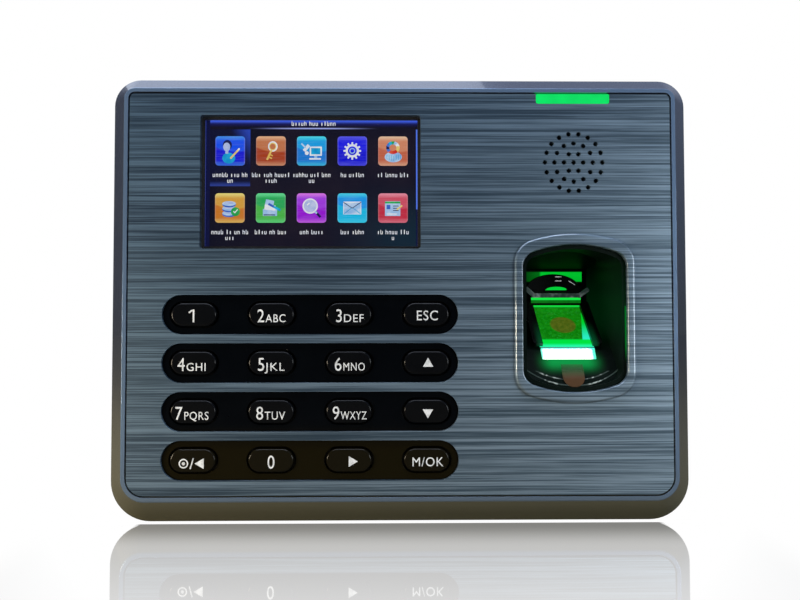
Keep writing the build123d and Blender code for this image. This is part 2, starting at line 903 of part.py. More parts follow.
def usb_socket():
    """Data socket on the board's lower edge, behind its opening in the case."""
    left = usb_x - usb_width / 2
    right = usb_x + usb_width / 2
    front = board_front - usb_height
    low = case_wall + 0.2
    shape = block(left, right, front, board_front, low, low + usb_length)
    shape -= block(left + 0.6, right - 0.6, front + 0.6, board_front - 0.6, low, low + 10.0)
    tongue_front = front + 0.9
    return shape + block(
        left + 1.2, right - 1.2, tongue_front, tongue_front + 1.4,
        low + usb_tongue_inset, low + 10.5,
    )


def cell_holder():
    """Round holder of the backup cell, on the back of the main board."""
    x, z = cell_at()
    ring = rod(x, z, 12.0, board_back, board_back + 4.4)
    ring -= rod(x, z, 10.3, board_back + 1.0, board_back + 4.4)
    return ring


def backup_cell():
    x, z = cell_at()
    return rod(x, z, 10.1, board_back + 1.05, board_back + 4.25)


def cell_at():
    return board_right - 16.0, board_low + 84.0


def flat_cable(points, x, width):
    """One flat cable, bent along its (depth, height) route."""
    line = FilletPolyline(*points, radius=1.0)
    return across(trace(line, line_width=0.3), x - width / 2, x + width / 2)


def flat_cables(display_back):
    """The flat cables of the display, the keypad and the sensor."""
    display_x, display_z = display_socket_at()
    frame_low = window_z - screen_height / 2 - display_border
    display_y = display_back - 0.8
    turn_z = frame_low - 2.4
    end_y = board_front - 1.1
    display = flat_cable(
        [(display_y, frame_low), (display_y, turn_z), (end_y, turn_z), (end_y, display_z - 2.0)],
        display_x, 14.0,
    )
    keypad_x, keypad_z = keypad_socket_at()
    _, main_z = board_keypad_at()
    middle_y = (keypad_back + 2.0 + board_front - 2.2) / 2
    keypad = flat_cable(
        [
            (keypad_back + 2.0, keypad_z), (middle_y, keypad_z),
            (middle_y, main_z), (board_front - 2.2, main_z),
        ],
        keypad_x, 12.0,
    )
    return [display, keypad]


def speaker_leads(speaker_back):
    """Two wires from the speaker's magnet to the main board's edge."""
    wires = []
    for z in (speaker_z - 2.0, speaker_z + 2.0):
        edge = speaker_x - speaker_radius + 5.5
        route = FilletPolyline(
            (edge, speaker_back - 2.0, z), (edge - 6.0, speaker_back - 2.0, z),
            (edge - 6.0, board_front - 0.6, z), (board_right - 3.0, board_front - 0.6, z),
            radius=2.0,
        )
        start = Plane(origin=route @ 0, z_dir=route % 0)
        wires.append(sweep(start * Circle(0.5), path=route))
    return wires


# ---- Wall plate, pins and screws ----

def wall_plate():
    """Steel wall plate with hooks, screw holes, cable opening and lock tab."""
    half = plate_width / 2
    outline = rounded(-half, half, plate_up, plate_up + plate_height, plate_corner, plate_corner)
    plate = slab(outline, plate_front, plate_back)
    plate -= slab(bay_outline(-3.0), plate_front, plate_back)
    for x in plate_x_holes:
        for z in plate_z_holes:
            plate -= rod(x, z, plate_screw_radius, plate_front, plate_back)
    plate -= rod(tamper_x, tamper_z, pin_radius + 2 * pin_clearance, plate_front, plate_back)
    for z in hook_rows:
        for x in (-hook_spread / 2, hook_spread / 2):
            plate += hook(x, z)
    tab = lock_tab_width / 2
    tab_z = lock_tab_z()
    plate += block(-tab, tab, plate_front, plate_back, tab_z, plate_up + 2.0)
    front = plate_front - lock_tab_reach
    plate += block(-tab, tab, front, plate_front + 0.5, tab_z, tab_z + plate_thickness)
    hole = Pos(0, lock_screw_y(), tab_z) * Cylinder(lock_screw_radius + 0.3, 6.0)
    return plate - hole


def hook(x, z):
    """One hook: a neck through the rear cover and a lip that stands up behind its wall."""
    half = hook_width / 2
    lip_back = cover_inner - 0.2
    lip_front = lip_back - plate_thickness
    neck = block(x - half, x + half, lip_front, plate_front + 0.5, z, z + plate_thickness)
    lip = block(x - half, x + half, lip_front, lip_back, z, z + plate_thickness + hook_lip)
    return neck + lip


def plate_lock_screw():
    """Screw that holds the terminal down on the wall plate's tab."""
    low = lock_tab_z()
    head = Pos(0, lock_screw_y(), low - 1.0) * Cylinder(2.8, 2.0)
    shank = Pos(0, lock_screw_y(), low + 3.5) * Cylinder(lock_screw_radius, 7.0)
    drive = Pos(0, lock_screw_y(), low - 2.0) * extrude(RegularPolygon(1.25, 6), amount=1.2)
    return head + shank - drive


def back_screw(x, z, head_front, radius, head_radius, length, head_height):
    """A pan-head screw driven from the back, with a cross slot in its head."""
    head = rod(x, z, head_radius, head_front, head_front + head_height)
    crown = head.faces().sort_by(Axis.Y)[-1]
    head = fillet(crown.edges(), 0.6)
    shank = rod(x, z, radius, head_front - length, head_front)
    back = head_front + head_height
    cross = block(x - 1.6, x + 1.6, back - 1.0, back, z - 0.35, z + 0.35)
    cross += block(x - 0.35, x + 0.35, back - 1.0, back, z - 1.6, z + 1.6)
    return head + shank - cross


def front_screw(x, z):
    """A small pan-head screw driven from the front into a board post."""
    head = rod(x, z, 2.3, board_front - 1.5, board_front)
    shank = rod(x, z, board_screw_radius, board_front, board_back + 6.0)
    front = board_front - 1.5
    cross = block(x - 1.2, x + 1.2, front, front + 0.7, z - 0.3, z + 0.3)
    cross += block(x - 0.3, x + 0.3, front, front + 0.7, z - 1.2, z + 1.2)
    return head + shank - cross


def tamper_plunger():
    """Sprung pin that stands out behind the wall plate until the wall pushes it in."""
    tip = case_depth / 2
    flange_back = cover_inner - thread_gap
    flange_front = flange_back - 1.2
    stem_front = tamper_switch_back() + pin_reach + 0.1
    profile = [
        (0, stem_front), (1.2, stem_front), (1.2, flange_front), (3.3, flange_front),
        (3.3, flange_back), (pin_radius, flange_back), (pin_radius, tip - 0.6),
        (pin_radius - 0.6, tip), (0, tip),
    ]
    return turned(profile, tamper_x, tamper_z)


def tamper_switch_back():
    return board_back + 3.5


def tamper_switch():
    half = 4.0
    back = tamper_switch_back()
    return block(
        tamper_x - half, tamper_x + half, board_back, back, tamper_z - half, tamper_z + half
    )


def tamper_spring():
    """Coil spring between the switch and the pin's flange."""
    wire = 0.25
    start = tamper_switch_back() + wire + 0.05
    end = cover_inner - thread_gap - 1.2 - wire - 0.05
    coil = Helix(pitch=(end - start) / 5, height=end - start, radius=2.2)
    profile = Plane(origin=coil @ 0, z_dir=coil % 0) * Circle(wire)
    spring = sweep(profile, path=coil, is_frenet=True)
    return Pos(tamper_x, start, tamper_z) * Rot(-90, 0, 0) * spring


def reset_button():
    """Small sunk pin that presses the reset switch on the main board."""
    front = board_back + 2.0 + 0.6
    back = plate_front - 0.8
    flange_back = plate_front - 5.0 - thread_gap
    profile = [
        (0, front), (1.0, front), (1.0, flange_back - 1.0), (2.6, flange_back - 1.0),
        (2.6, flange_back), (reset_radius, flange_back), (reset_radius, back), (0, back),
    ]
    return turned(profile, reset_x, reset_z)


# ---- Every piece, written under its own name ----

save("front_bezel", front_bezel())
save("face_panel", face_panel())
save("rear_cover", rear_cover())
save("status_light_guide", status_light_guide())
save("status_light_board", status_light_board())
display_back = display_pieces()
save("keypad_frame", keypad_frame())
for name, x, z in key_places():
    save(name, key_cap(x, z))
save("keypad_mat", keypad_mat())
save("keypad_board", keypad_board())
speaker_back = speaker_pieces()
save("speaker_leads", speaker_leads(speaker_back))
save("finger_well", finger_well())
save("sensor_frame", sensor_frame())
save("sensor_prism", sensor_prism())
save("sensor_led_bar", sensor_led_bar())
save("sensor_housing", sensor_housing())
save("sensor_lens", sensor_lens())
save("sensor_board", sensor_board())
save("film_tab", film_tab())
save("main_board", main_board())
save("board_chips", board_chips())
for name in sockets:
    save(name, socket(name))
save("usb_socket", usb_socket())
save("cell_holder", cell_holder())
save("backup_cell", backup_cell())
save("flat_cables", flat_cables(display_back))
save("wall_plate", wall_plate())
save("plate_lock_screw", plate_lock_screw())
save("case_screws", [
    back_screw(x, z, split_y + 2.2, case_screw_radius, 2.8, 12.0, 2.0) for x, z in case_screws_at
])
save("board_screws", [front_screw(x, z) for x, z in board_screws_at])
save("tamper_plunger", tamper_plunger())
save("tamper_switch", tamper_switch())
save("tamper_spring", tamper_spring())
save("reset_button", reset_button())
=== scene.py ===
import json
import math

import bpy
from mathutils import Matrix, Vector


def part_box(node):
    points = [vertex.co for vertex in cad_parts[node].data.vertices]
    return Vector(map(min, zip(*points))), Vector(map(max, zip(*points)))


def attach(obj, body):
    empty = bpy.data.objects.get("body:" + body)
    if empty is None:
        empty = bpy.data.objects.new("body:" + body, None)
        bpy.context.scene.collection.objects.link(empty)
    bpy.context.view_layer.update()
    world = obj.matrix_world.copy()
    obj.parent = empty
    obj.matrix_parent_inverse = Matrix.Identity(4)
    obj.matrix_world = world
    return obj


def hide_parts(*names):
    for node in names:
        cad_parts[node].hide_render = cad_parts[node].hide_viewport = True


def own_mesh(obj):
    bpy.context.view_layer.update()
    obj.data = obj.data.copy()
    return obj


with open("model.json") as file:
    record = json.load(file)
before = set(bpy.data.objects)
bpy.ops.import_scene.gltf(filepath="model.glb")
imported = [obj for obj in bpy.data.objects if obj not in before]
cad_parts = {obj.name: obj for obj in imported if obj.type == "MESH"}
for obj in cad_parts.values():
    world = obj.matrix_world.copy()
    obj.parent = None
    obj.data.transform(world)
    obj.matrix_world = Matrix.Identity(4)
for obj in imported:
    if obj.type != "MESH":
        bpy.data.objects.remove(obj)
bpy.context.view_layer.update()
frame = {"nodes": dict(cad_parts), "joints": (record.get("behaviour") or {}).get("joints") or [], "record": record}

mm = 0.001
tiny = 0.000002  # m
nodes = frame["nodes"]
bpy.ops.object.select_all(action="DESELECT")
print("frame loaded,", len(nodes), "pieces")


# shader maths: a socket that can be added, multiplied and so on
class Wire:
    def __init__(self, tree, socket):
        self.tree = tree
        self.socket = socket

    def math(self, operation, first, second=None):
        node = self.tree.nodes.new("ShaderNodeMath")
        node.operation = operation
        for slot, value in zip(node.inputs, (first, second)):
            if isinstance(value, Wire):
                self.tree.links.new(value.socket, slot)
            elif value is not None:
                slot.default_value = value
        return Wire(self.tree, node.outputs[0])

    def __add__(self, other):
        return self.math("ADD", self, other)

    def __radd__(self, other):
        return self.math("ADD", other, self)

    def __sub__(self, other):
        return self.math("SUBTRACT", self, other)

    def __rsub__(self, other):
        return self.math("SUBTRACT", other, self)

    def __mul__(self, other):
        return self.math("MULTIPLY", self, other)

    def __truediv__(self, other):
        return self.math("DIVIDE", self, other)

    def __pow__(self, other):
        return self.math("POWER", self, other)

    def over(self, limit):
        return self.math("GREATER_THAN", self, limit)

    def under(self, limit):
        return self.math("LESS_THAN", self, limit)

    def size(self):
        return self.math("ABSOLUTE", self)

    def between(self, low, high):  # 0 at low, 1 at high, smooth in between
        node = self.tree.nodes.new("ShaderNodeMapRange")
        node.interpolation_type = "SMOOTHSTEP"
        self.tree.links.new(self.socket, node.inputs["Value"])
        node.inputs["From Min"].default_value = low
        node.inputs["From Max"].default_value = high
        return Wire(self.tree, node.outputs["Result"])

    def span(self, low, high, first=0.0, last=1.0):  # the same in a straight line
        node = self.tree.nodes.new("ShaderNodeMapRange")
        self.tree.links.new(self.socket, node.inputs["Value"])
        for name, value in zip(("From Min", "From Max", "To Min", "To Max"), (low, high, first, last)):
            node.inputs[name].default_value = value
        return Wire(self.tree, node.outputs["Result"])


class Tree:  # a node tree, and how nodes are added to it
    def __init__(self, tree):
        self.tree = tree

    def node(self, kind, settings=None, **inputs):
        made = self.tree.nodes.new("ShaderNode" + kind)
        for key, value in (settings or {}).items():
            setattr(made, key, value)
        for key, value in inputs.items():
            self.give(made.inputs[key.replace("_", " ")], value)
        return made

    def give(self, socket, value):
        if isinstance(value, Wire):
            self.tree.links.new(value.socket, socket)
        else:
            socket.default_value = value

    def out(self, node, name=0):
        return Wire(self.tree, node.outputs[name])

    def axes(self, kind="Object"):  # metres on an object, -1 to 1 in the world
        split = self.node("SeparateXYZ", Vector=self.out(self.node("TexCoord"), kind))
        return [self.out(split, axis) for axis in "XYZ"]

    def mix(self, amount, first, second):  # colours
        made = self.node("Mix", {"data_type": "RGBA"})
        self.give(made.inputs[0], amount)
        self.give(made.inputs[6], first)
        self.give(made.inputs[7], second)
        return Wire(self.tree, made.outputs[2])

    def ramp(self, value, stops):
        made = self.node("ValToRGB")
        stopList = made.color_ramp.elements
        while len(stopList) < len(stops):
            stopList.new(1.0)
        for element, (place, colour) in zip(stopList, stops):
            element.position = place
            element.color = colour
        self.give(made.inputs[0], value)
        return self.out(made, "Color")

    def either(self, amount, first, second):  # two shaders mixed
        made = self.node("MixShader")
        for socket, value in zip(made.inputs, (amount, first, second)):
            self.give(socket, value)
        return self.out(made)


class Finish(Tree):  # one material
    def __init__(self, name):
        self.material = bpy.data.materials.new(name)
        self.material.use_nodes = True
        super().__init__(self.material.node_tree)
        self.shader = self.tree.nodes["Principled BSDF"]
        self.output = self.tree.nodes["Material Output"]

    def noise(self, scale, stretch=(1, 1, 1), detail=3.0, roughness=0.5, move=(0, 0, 0)):
        place = self.out(self.node("TexCoord"), "Object")
        mapping = self.node("Mapping", Vector=place, Scale=stretch, Location=move)
        made = self.node("TexNoise", Vector=self.out(mapping), Scale=scale, Detail=detail,
                         Roughness=roughness)
        return self.out(made, "Fac")

    def bump(self, height, strength, distance):
        made = self.node("Bump", Height=height, Strength=strength, Distance=distance)
        self.give(self.shader.inputs["Normal"], self.out(made))

    def surface(self, **values):  # names as on the shader, with _ for spaces
        if "Emission_Color" in values:
            values.setdefault("Emission_Strength", 1.0)
        for key, value in values.items():
            self.give(self.shader.inputs[key.replace("_", " ")], value)
        return self.material


def shade(red, green, blue):
    return (red, green, blue, 1.0)


def scaled(colour, share, extra=0.0):
    return shade(*[min(1, part * share + extra) for part in colour])


white = shade(1, 1, 1)
black = shade(0, 0, 0)


def linked(name, data):
    made = bpy.data.objects.new(name, data)
    bpy.context.scene.collection.objects.link(made)
    return made


# camera, light and floor
view = {
    "place": (-2.23, -217.75, 62.7),  # mm
    "pitch": 1.63,                    # degrees
    "yaw": -0.56,
    "roll": -0.07,
    "lens": 29.4,
}


def addCamera():
    data = bpy.data.cameras.new("camera")
    data.lens = view["lens"]
    data.sensor_width = 36.0
    data.clip_start = 0.005
    data.clip_end = 20.0
    camera = linked("camera", data)
    turn = Matrix.Rotation(math.radians(view["yaw"]), 4, "Z")
    turn = turn @ Matrix.Rotation(math.radians(90 + view["pitch"]), 4, "X")
    turn = turn @ Matrix.Rotation(math.radians(view["roll"]), 4, "Z")
    camera.matrix_world = Matrix.Translation(Vector(view["place"]) * mm) @ turn
    bpy.context.scene.camera = camera


def addLight(name, place, aim, size, power, colour=(1, 1, 1)):
    data = bpy.data.lights.new(name, "AREA")
    data.shape = "RECTANGLE"
    data.size, data.size_y = size[0] * mm, size[1] * mm
    data.energy = power
    data.color = colour
    lamp = linked(name, data)
    place, aim = Vector(place) * mm, Vector(aim) * mm
    turn = (aim - place).to_track_quat("-Z", "Y").to_matrix().to_4x4()
    lamp.matrix_world = Matrix.Translation(place) @ turn


def addWorld():
    world = bpy.data.worlds.new("studio")
    bpy.context.scene.world = world
    world.use_nodes = True
    world.node_tree.nodes.clear()
    room = Tree(world.node_tree)
    x, y, z = room.axes("Generated")
    sky = room.ramp(z.span(-0.35, 0.6), [
        (0.0, shade(0.12, 0.125, 0.085)), (0.34, shade(0.07, 0.072, 0.06)),
        (0.5, shade(0.085, 0.1, 0.12)), (0.75, shade(0.16, 0.19, 0.26)),
        (1.0, shade(0.3, 0.34, 0.45)),
    ])
    darker = x.span(-0.7, 0.7, 0.75, 0.0)  # on the left
    dimmed = room.mix(darker, sky, shade(0.012, 0.014, 0.02))
    tone = room.mix(y.span(0.6, 0.85), dimmed, white)  # a white wall behind
    around = room.out(room.node("Background", Color=tone, Strength=1.0))
    plain = room.out(room.node("Background", Color=white, Strength=1.0))
    seen = room.out(room.node("LightPath"), "Is Camera Ray")
    output = room.node("OutputWorld")
    room.give(output.inputs["Surface"], room.either(seen, around, plain))


def addFloor():
    bpy.ops.mesh.primitive_plane_add(size=4.0, location=(0, 0, -0.0004))
    floor = bpy.context.object
    floor.name = "floor"
    finish = Finish("paleFloor")
    plain = finish.out(finish.node("Emission", Color=white, Strength=1.0))
    dark = finish.out(finish.node("BsdfDiffuse", Color=shade(0.16, 0.14, 0.1)))
    mirror = finish.out(finish.node("BsdfAnisotropic", Color=white, Roughness=0.03))
    x, y, z = finish.axes()
    polish = (y.between(-0.15, -0.02) * 0.5 + y.between(-0.036, -0.016) * 0.3) * y.under(-0.0143)
    polish = polish * (1 - x.size().between(0.094, 0.112))
    seen = finish.out(finish.node("LightPath"), "Is Camera Ray")
    both = finish.either(seen, dark, finish.either(polish, plain, mirror))
    finish.give(finish.output.inputs["Surface"], both)
    finish.tree.nodes.remove(finish.shader)
    floor.data.materials.append(finish.material)


def addStudio():
    addCamera()
    addWorld()
    addFloor()
    bpy.context.scene.view_settings.view_transform = "Standard"
    addLight("topSoftbox", (-60, -70, 400), (-60, 0, 110), (420, 160), 1.7, (0.8, 0.86, 1.0))
    addLight("rightSoftbox", (420, -330, 60), (40, 0, 40), (220, 260), 1.9, (0.92, 0.97, 1.0))
    addLight("leftLow", (-330, -180, 30), (-60, 0, 20), (120, 100), 1.5, (1.0, 0.84, 0.62))
    addLight("topStrip", (-120, 45, 300), (-90, 0, 120), (340, 240), 0.22, (0.78, 0.86, 1.0))
    print("studio ready")


addStudio()


# finishes
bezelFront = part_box("front_bezel")[0].y


def brushedFace():
    finish = Finish("brushedFace")
    x, y, z = finish.axes()
    broad = finish.noise(1.0, (8, 30, 1250), 5.0, 0.72)
    fine = finish.noise(1.0, (22, 60, 3200), 4.0, 0.65, (3, 0, 1))
    cloud = finish.noise(1.0, (10, 14, 26), 2.0)
    streak = broad * 0.58 + fine * 0.42
    light = streak.between(0.42, 0.6)
    tone = finish.mix(light, shade(0.008, 0.025, 0.054), shade(0.085, 0.152, 0.232))
    tone = finish.mix(cloud.between(0.35, 0.7) * 0.2, tone, shade(0.05, 0.095, 0.13))
    pale = (x * 4.2 - z * 4.2 + 0.5).between(-0.25, 0.8)  # painted light: paler towards the lower right, where more light falls
    # painted light: the paler, lit colour of the streaks at the lower right
    wear_and_painted_light = finish.mix(light, shade(0.08, 0.13, 0.17), shade(0.38, 0.49, 0.58))
    tone = finish.mix(pale * 0.62, tone, wear_and_painted_light)
    raised = y.under(bezelFront + 0.1 * mm)  # the bead round the well is glossier
    finish.bump(streak, 0.35, 0.00005)
    return finish.surface(Base_Color=tone, Metallic=0.5, Roughness=0.38 + fine * 0.16,
                          Coat_Weight=0.1 + raised * 0.9, Coat_Roughness=0.07)


def housingLacquer():
    finish = Finish("housingLacquer")
    x, y, z = finish.axes()
    flake = finish.noise(4200.0, detail=1.0)
    cloud = finish.noise(30.0, detail=2.0)
    tone = finish.mix(flake.between(0.4, 0.7), shade(0.05, 0.065, 0.11), shade(0.1, 0.122, 0.19))
    # painted reflection: browner and paler towards the bottom, for the olive-brown surroundings reflected in the
    # lower bevels
    tone = finish.mix(z.between(0.07, 0.0) * 0.9, tone, shade(0.19, 0.185, 0.115))
    edge = y.between(bezelFront + 0.4 * mm, bezelFront + 0.1 * mm) * (z.between(-0.01, 0.03) * 0.4 + 0.6)
    tone = finish.mix(edge, tone, shade(0.17, 0.27, 0.43))  # painted sheen: the rim's colour is made blue where it would reflect the room
    return finish.surface(Base_Color=tone, Metallic=0.6, Roughness=0.2 + cloud * 0.06,
                          Coat_Weight=1.0, Coat_Roughness=0.05)


def gloss(name, colour, rough, coat, shine, foot):  # foot: painted reflection, a brown tint low down
    finish = Finish(name)
    wipe = finish.noise(160.0, detail=3.0)
    speck = finish.noise(1500.0, detail=1.0)
    tone = finish.mix(wipe, shade(*colour), scaled(colour, 1.35, 0.001))
    # painted reflection: brown towards the foot, on the lowest row
    tone = finish.mix(finish.axes()[2].between(0.031, 0.022), tone, shade(*foot))
    return finish.surface(Base_Color=tone, Roughness=rough + wipe * 0.05 + speck * 0.02,
                          Coat_Weight=coat, Coat_Roughness=0.03, Specular_IOR_Level=shine)


def matte(name, colour, rough=0.55, grain=900.0, depth=0.00003):
    finish = Finish(name)
    pebble = finish.noise(grain, detail=2.0)
    cloud = finish.noise(45.0, detail=2.0)
    tone = finish.mix(cloud, scaled(colour, 0.82), scaled(colour, 1.15))
    finish.bump(pebble, 0.35, depth)
    return finish.surface(Base_Color=tone, Roughness=rough + pebble * 0.12)


def metal(name, colour, rough=0.3, stretch=(1, 1, 1), grain=700.0):
    finish = Finish(name)
    line = finish.noise(grain, stretch, 3.0)
    cloud = finish.noise(60.0, detail=2.0)
    tone = finish.mix(cloud, scaled(colour, 0.85), shade(*colour))
    finish.bump(line, 0.12, 0.00002)
    return finish.surface(Base_Color=tone, Metallic=1.0, Roughness=rough + line * 0.14)


def lit(name, colour, strength):
    finish = Finish(name)
    cloud = finish.noise(240.0, detail=2.0)
    tone = finish.mix(cloud, scaled(colour, 0.7), shade(*colour))
    return finish.surface(Base_Color=scaled(colour, 0.3), Roughness=0.25,
                          Emission_Color=tone, Emission_Strength=strength)


def clearWindow():
    finish = Finish("clearWindow")
    wipe = finish.noise(120.0, detail=2.0)
    return finish.surface(Base_Color=shade(0.02, 0.022, 0.03), Roughness=0.04 + wipe * 0.05, Alpha=0.14)


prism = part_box("sensor_prism")  # low and high corners, in metres
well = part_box("finger_well")
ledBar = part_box("sensor_led_bar")


def wellLining():  # black gloss, with painted light: the lamp's green painted on as emission
    finish = Finish("wellLining")
    x, y, z = finish.axes()
    middle = (well[0].x + well[1].x) / 2
    back = well[1].y
    top = prism[1].z
    wipe = finish.noise(160.0, detail=3.0)
    # a faint green tint in the black: painted light from the lamp
    tone = finish.mix(wipe, shade(0.001, 0.004, 0.003), shade(0.003, 0.008, 0.006))
    # painted light: a green band where the lamp's light falls on the well's back
    band = z.between(top + 8.2 * mm, top + 8.6 * mm)
    band = band * (1 - z.between(top + 11.6 * mm, top + 11.9 * mm))
    band = band * y.over(back - 4 * mm)
    across = (x - middle) / mm
    reach = across.between(-14, -5) * 0.25 + across.between(-5.5, -4.5) * 0.75
    band = band * reach * (0.6 + wipe * 0.5) * across.under(9.4)
    # painted light: green close to the lamp, on the right side and at the opening
    lamp = (z - (ledBar[0].z + 0.3 * mm)) / (5.2 * mm)
    painted_lamp_glow = (1 - lamp.size().between(0.0, 1.0)) * (1 - across.size().between(5.2, 13)) * y.under(-4 * mm)
    up = (z - top) / mm
    wall = across.over(11) * up.between(-16, -4) * (1 - up.between(-3, 18))
    painted_opening_glow = across.over(15.5) * up.between(-18, -12) * up.under(-0.5)
    painted_glow = finish.mix(band, black, shade(0.0, 0.6, 0.03))
    painted_glow = finish.mix(painted_lamp_glow * painted_lamp_glow, painted_glow, shade(0.0, 0.3, 0.055))
    painted_glow = finish.mix(wall * 0.5, painted_glow, shade(0.0, 0.02, 0.004))
    painted_glow = finish.mix(painted_opening_glow * 0.5, painted_glow, shade(0.0, 0.3, 0.03))
    return finish.surface(Base_Color=tone, Roughness=0.42 + wipe * 0.1, Specular_IOR_Level=0.06,
                          Emission_Color=painted_glow)


def platenGlass():  # painted light: the glass shines as if lit from below, bright at the lamp, dark and mottled above
    finish = Finish("platenGlass")
    x, y, z = finish.axes()
    low, high = prism
    middle = (low.x + high.x) / 2
    half = (high.x - low.x) / 2
    rise = (z - low.z) / (high.z - low.z)
    mottle = finish.noise(900.0, detail=3.0)
    dust = finish.noise(3200.0, detail=1.0)
    tone = finish.mix(mottle.between(0.3, 0.75), shade(0.003, 0.17, 0.002), shade(0.008, 0.25, 0.005))
    # dust specks, shining green with the painted light
    tone = finish.mix(dust.between(0.66, 0.74) * 0.8, tone, shade(0.02, 0.5, 0.09))
    guideX = (x - middle - 0.6 * mm) / (4.4 * mm)
    guideZ = (z - (low.z + 7.0 * mm)) / (2.7 * mm)
    guide = 1 - (guideX * guideX + guideZ * guideZ).between(0.75, 1.05)  # oval where the finger goes
    tone = finish.mix(guide * 0.75, tone, finish.mix(mottle.between(0.3, 0.7), shade(0.07, 0.075, 0.006),
                                                     shade(0.12, 0.09, 0.01)))
    edge = ((x - middle) / half + (1 - rise) * 0.43).between(1.0, 1.03)  # painted light along the bevelled right side
    tone = finish.mix(edge, tone, finish.mix(rise.between(0.62, 0.05), shade(0.0, 0.62, 0.02),
                                             shade(0.03, 0.9, 0.7)))
    # painted light: a bright band at the lamp, and a green line along the top edge
    tone = finish.mix(1 - rise.between(0.15, 0.2), tone, shade(0.0, 0.75, 0.05))
    tone = finish.mix(1 - rise.between(0.0, 0.1), tone, shade(0.02, 1.0, 0.45))
    tone = finish.mix(rise.between(0.955, 0.97), tone, shade(0.01, 0.75, 0.08))
    return finish.surface(Base_Color=shade(0.0, 0.02, 0.004), Roughness=0.08 + mottle * 0.06,
                          Emission_Color=tone)


def lampRow():  # white-hot in the middle, green-blue where it ends
    finish = Finish("lampRow")
    x, y, z = finish.axes()
    low, high = ledBar
    ragged = finish.noise(1400.0, detail=3.0)
    aside = (x - (low.x + high.x) / 2 + 0.4 * mm).size() / ((high.x - low.x) / 2)
    ends = (aside + ragged * 0.08).between(0.88, 1.02)
    upper = ((z - low.z) / (high.z - low.z) + ragged * 0.14).between(0.93, 1.04)
    tone = finish.mix(ends, shade(2.2, 2.6, 2.3), shade(0.0, 0.95, 0.62))
    tone = finish.mix(upper, tone, shade(0.02, 1.0, 0.75))
    return finish.surface(Base_Color=shade(0.2, 0.3, 0.22), Roughness=0.3, Emission_Color=tone)


def sensorShell():  # smoky black, with painted light: green where the lamp's light would pass the fingertip stop, and faintly next to the glass
    finish = Finish("sensorShell")
    x, y, z = finish.axes()
    low, high = prism
    middle = (low.x + high.x) / 2
    wipe = finish.noise(200.0, detail=2.0)
    tone = finish.mix(wipe, shade(0.004, 0.005, 0.005), shade(0.009, 0.011, 0.011))
    acrossX = (x - middle) / (3.6 * mm)
    painted_leak = (acrossX * acrossX + ((z - (high.z + 5.4 * mm)) / (1.1 * mm)) ** 2).under(1.0)
    painted_leak = painted_leak * z.over(high.z + 5.4 * mm) * y.over(high.y - 2 * mm)
    edge = ((x - middle).size() - (high.x - low.x) / 2) / (2.0 * mm)
    # painted light: faint green next to the glass, close to the lamp
    painted_light_beside = (1 - ((z - low.z) / (9 * mm)).between(0.0, 1.0)) * (1 - edge.between(0.0, 1.0))
    painted_glow = finish.mix(painted_leak, black, shade(0.0, 0.62, 0.04))
    painted_glow = finish.mix(painted_light_beside * 0.6, painted_glow, shade(0.0, 0.1, 0.03))
    return finish.surface(Base_Color=tone, Roughness=0.22 + wipe * 0.08, Specular_IOR_Level=0.2,
                          Emission_Color=painted_glow)


def makeFinishes():
    brushed = brushedFace()
    lacquer = housingLacquer()
    board = matte("solderMask", (0.02, 0.14, 0.06), 0.35)
    package = matte("mouldedPackage", (0.03, 0.03, 0.032), 0.5)
    steel = metal("platedSteel", (0.62, 0.62, 0.6), 0.28)
    foam = matte("blackFoam", (0.02, 0.02, 0.02), 0.85)
    return {
        "housing_shell": lacquer, "face_brushed": brushed,
        # the last colour of each: painted reflection, brown on the lowest row
        "keypad_black": gloss("keypadBlack", (0.0008, 0.0014, 0.0024), 0.1, 0.025, 0.06,
                              (0.008, 0.0064, 0.0022)),
        "key_black": gloss("keyBlack", (0.002, 0.0024, 0.0032), 0.14, 0.045, 0.13,
                           (0.007, 0.0058, 0.0025)),
        "window_clear": clearWindow(),
        "lcd_glass": lit("screenDark", (0.01, 0.014, 0.06), 0.6),
        "backlight_white": matte("lightGuideWhite", (0.85, 0.86, 0.88), 0.5),
        "black_foam": foam, "silicone_grey": matte("siliconeGrey", (0.32, 0.33, 0.35), 0.6),
        "circuit_green": board, "component_black": package, "socket_metal": steel,
        "socket_black": matte("socketBlack", (0.025, 0.025, 0.028), 0.45),
        "terminal_green": matte("terminalGreen", (0.05, 0.32, 0.14), 0.4),
        "cell_steel": steel, "status_clear": lit("statusGreen", (0.0, 0.66, 0.11), 1.0),
        "well_black": wellLining(),
        "sensor_grey": sensorShell(),
        "prism_glass": platenGlass(),
        "lamp_green": lampRow(),
        "film_red": matte("filmRed", (0.14, 0.034, 0.022), 0.3),
        "mesh_black": matte("meshBlack", (0.012, 0.012, 0.012), 0.8, 2500.0),
        "speaker_steel": steel, "speaker_paper": matte("conePaper", (0.04, 0.04, 0.04), 0.8),
        "magnet_dark": metal("magnetDark", (0.2, 0.2, 0.21), 0.4),
        "cover_black": matte("coverBlack", (0.028, 0.03, 0.034), 0.5, 1600.0, 0.00006),
        "plate_steel": metal("plateZinc", (0.55, 0.56, 0.58), 0.32, (1, 1, 6), 260.0),
        "screw_steel": steel, "flex_amber": matte("flexAmber", (0.5, 0.24, 0.05), 0.3),
        "wire_red": matte("wireRed", (0.5, 0.05, 0.04), 0.4),
        "pin_black": matte("pinBlack", (0.035, 0.035, 0.04), 0.4),
        "spring_steel": steel,
    }


finishes = makeFinishes()
slotOf = {part["node"]: part["material_slot"] for part in frame["record"]["subparts"]}
for name, piece in nodes.items():
    piece.data.materials.clear()
    piece.data.materials.append(finishes[slotOf[name]])
print("finishes given to the frame's pieces")


def objectMode():
    bpy.ops.object.mode_set(mode="OBJECT")


def editAll():
    bpy.ops.object.mode_set(mode="EDIT")
    bpy.ops.mesh.select_all(action="SELECT")


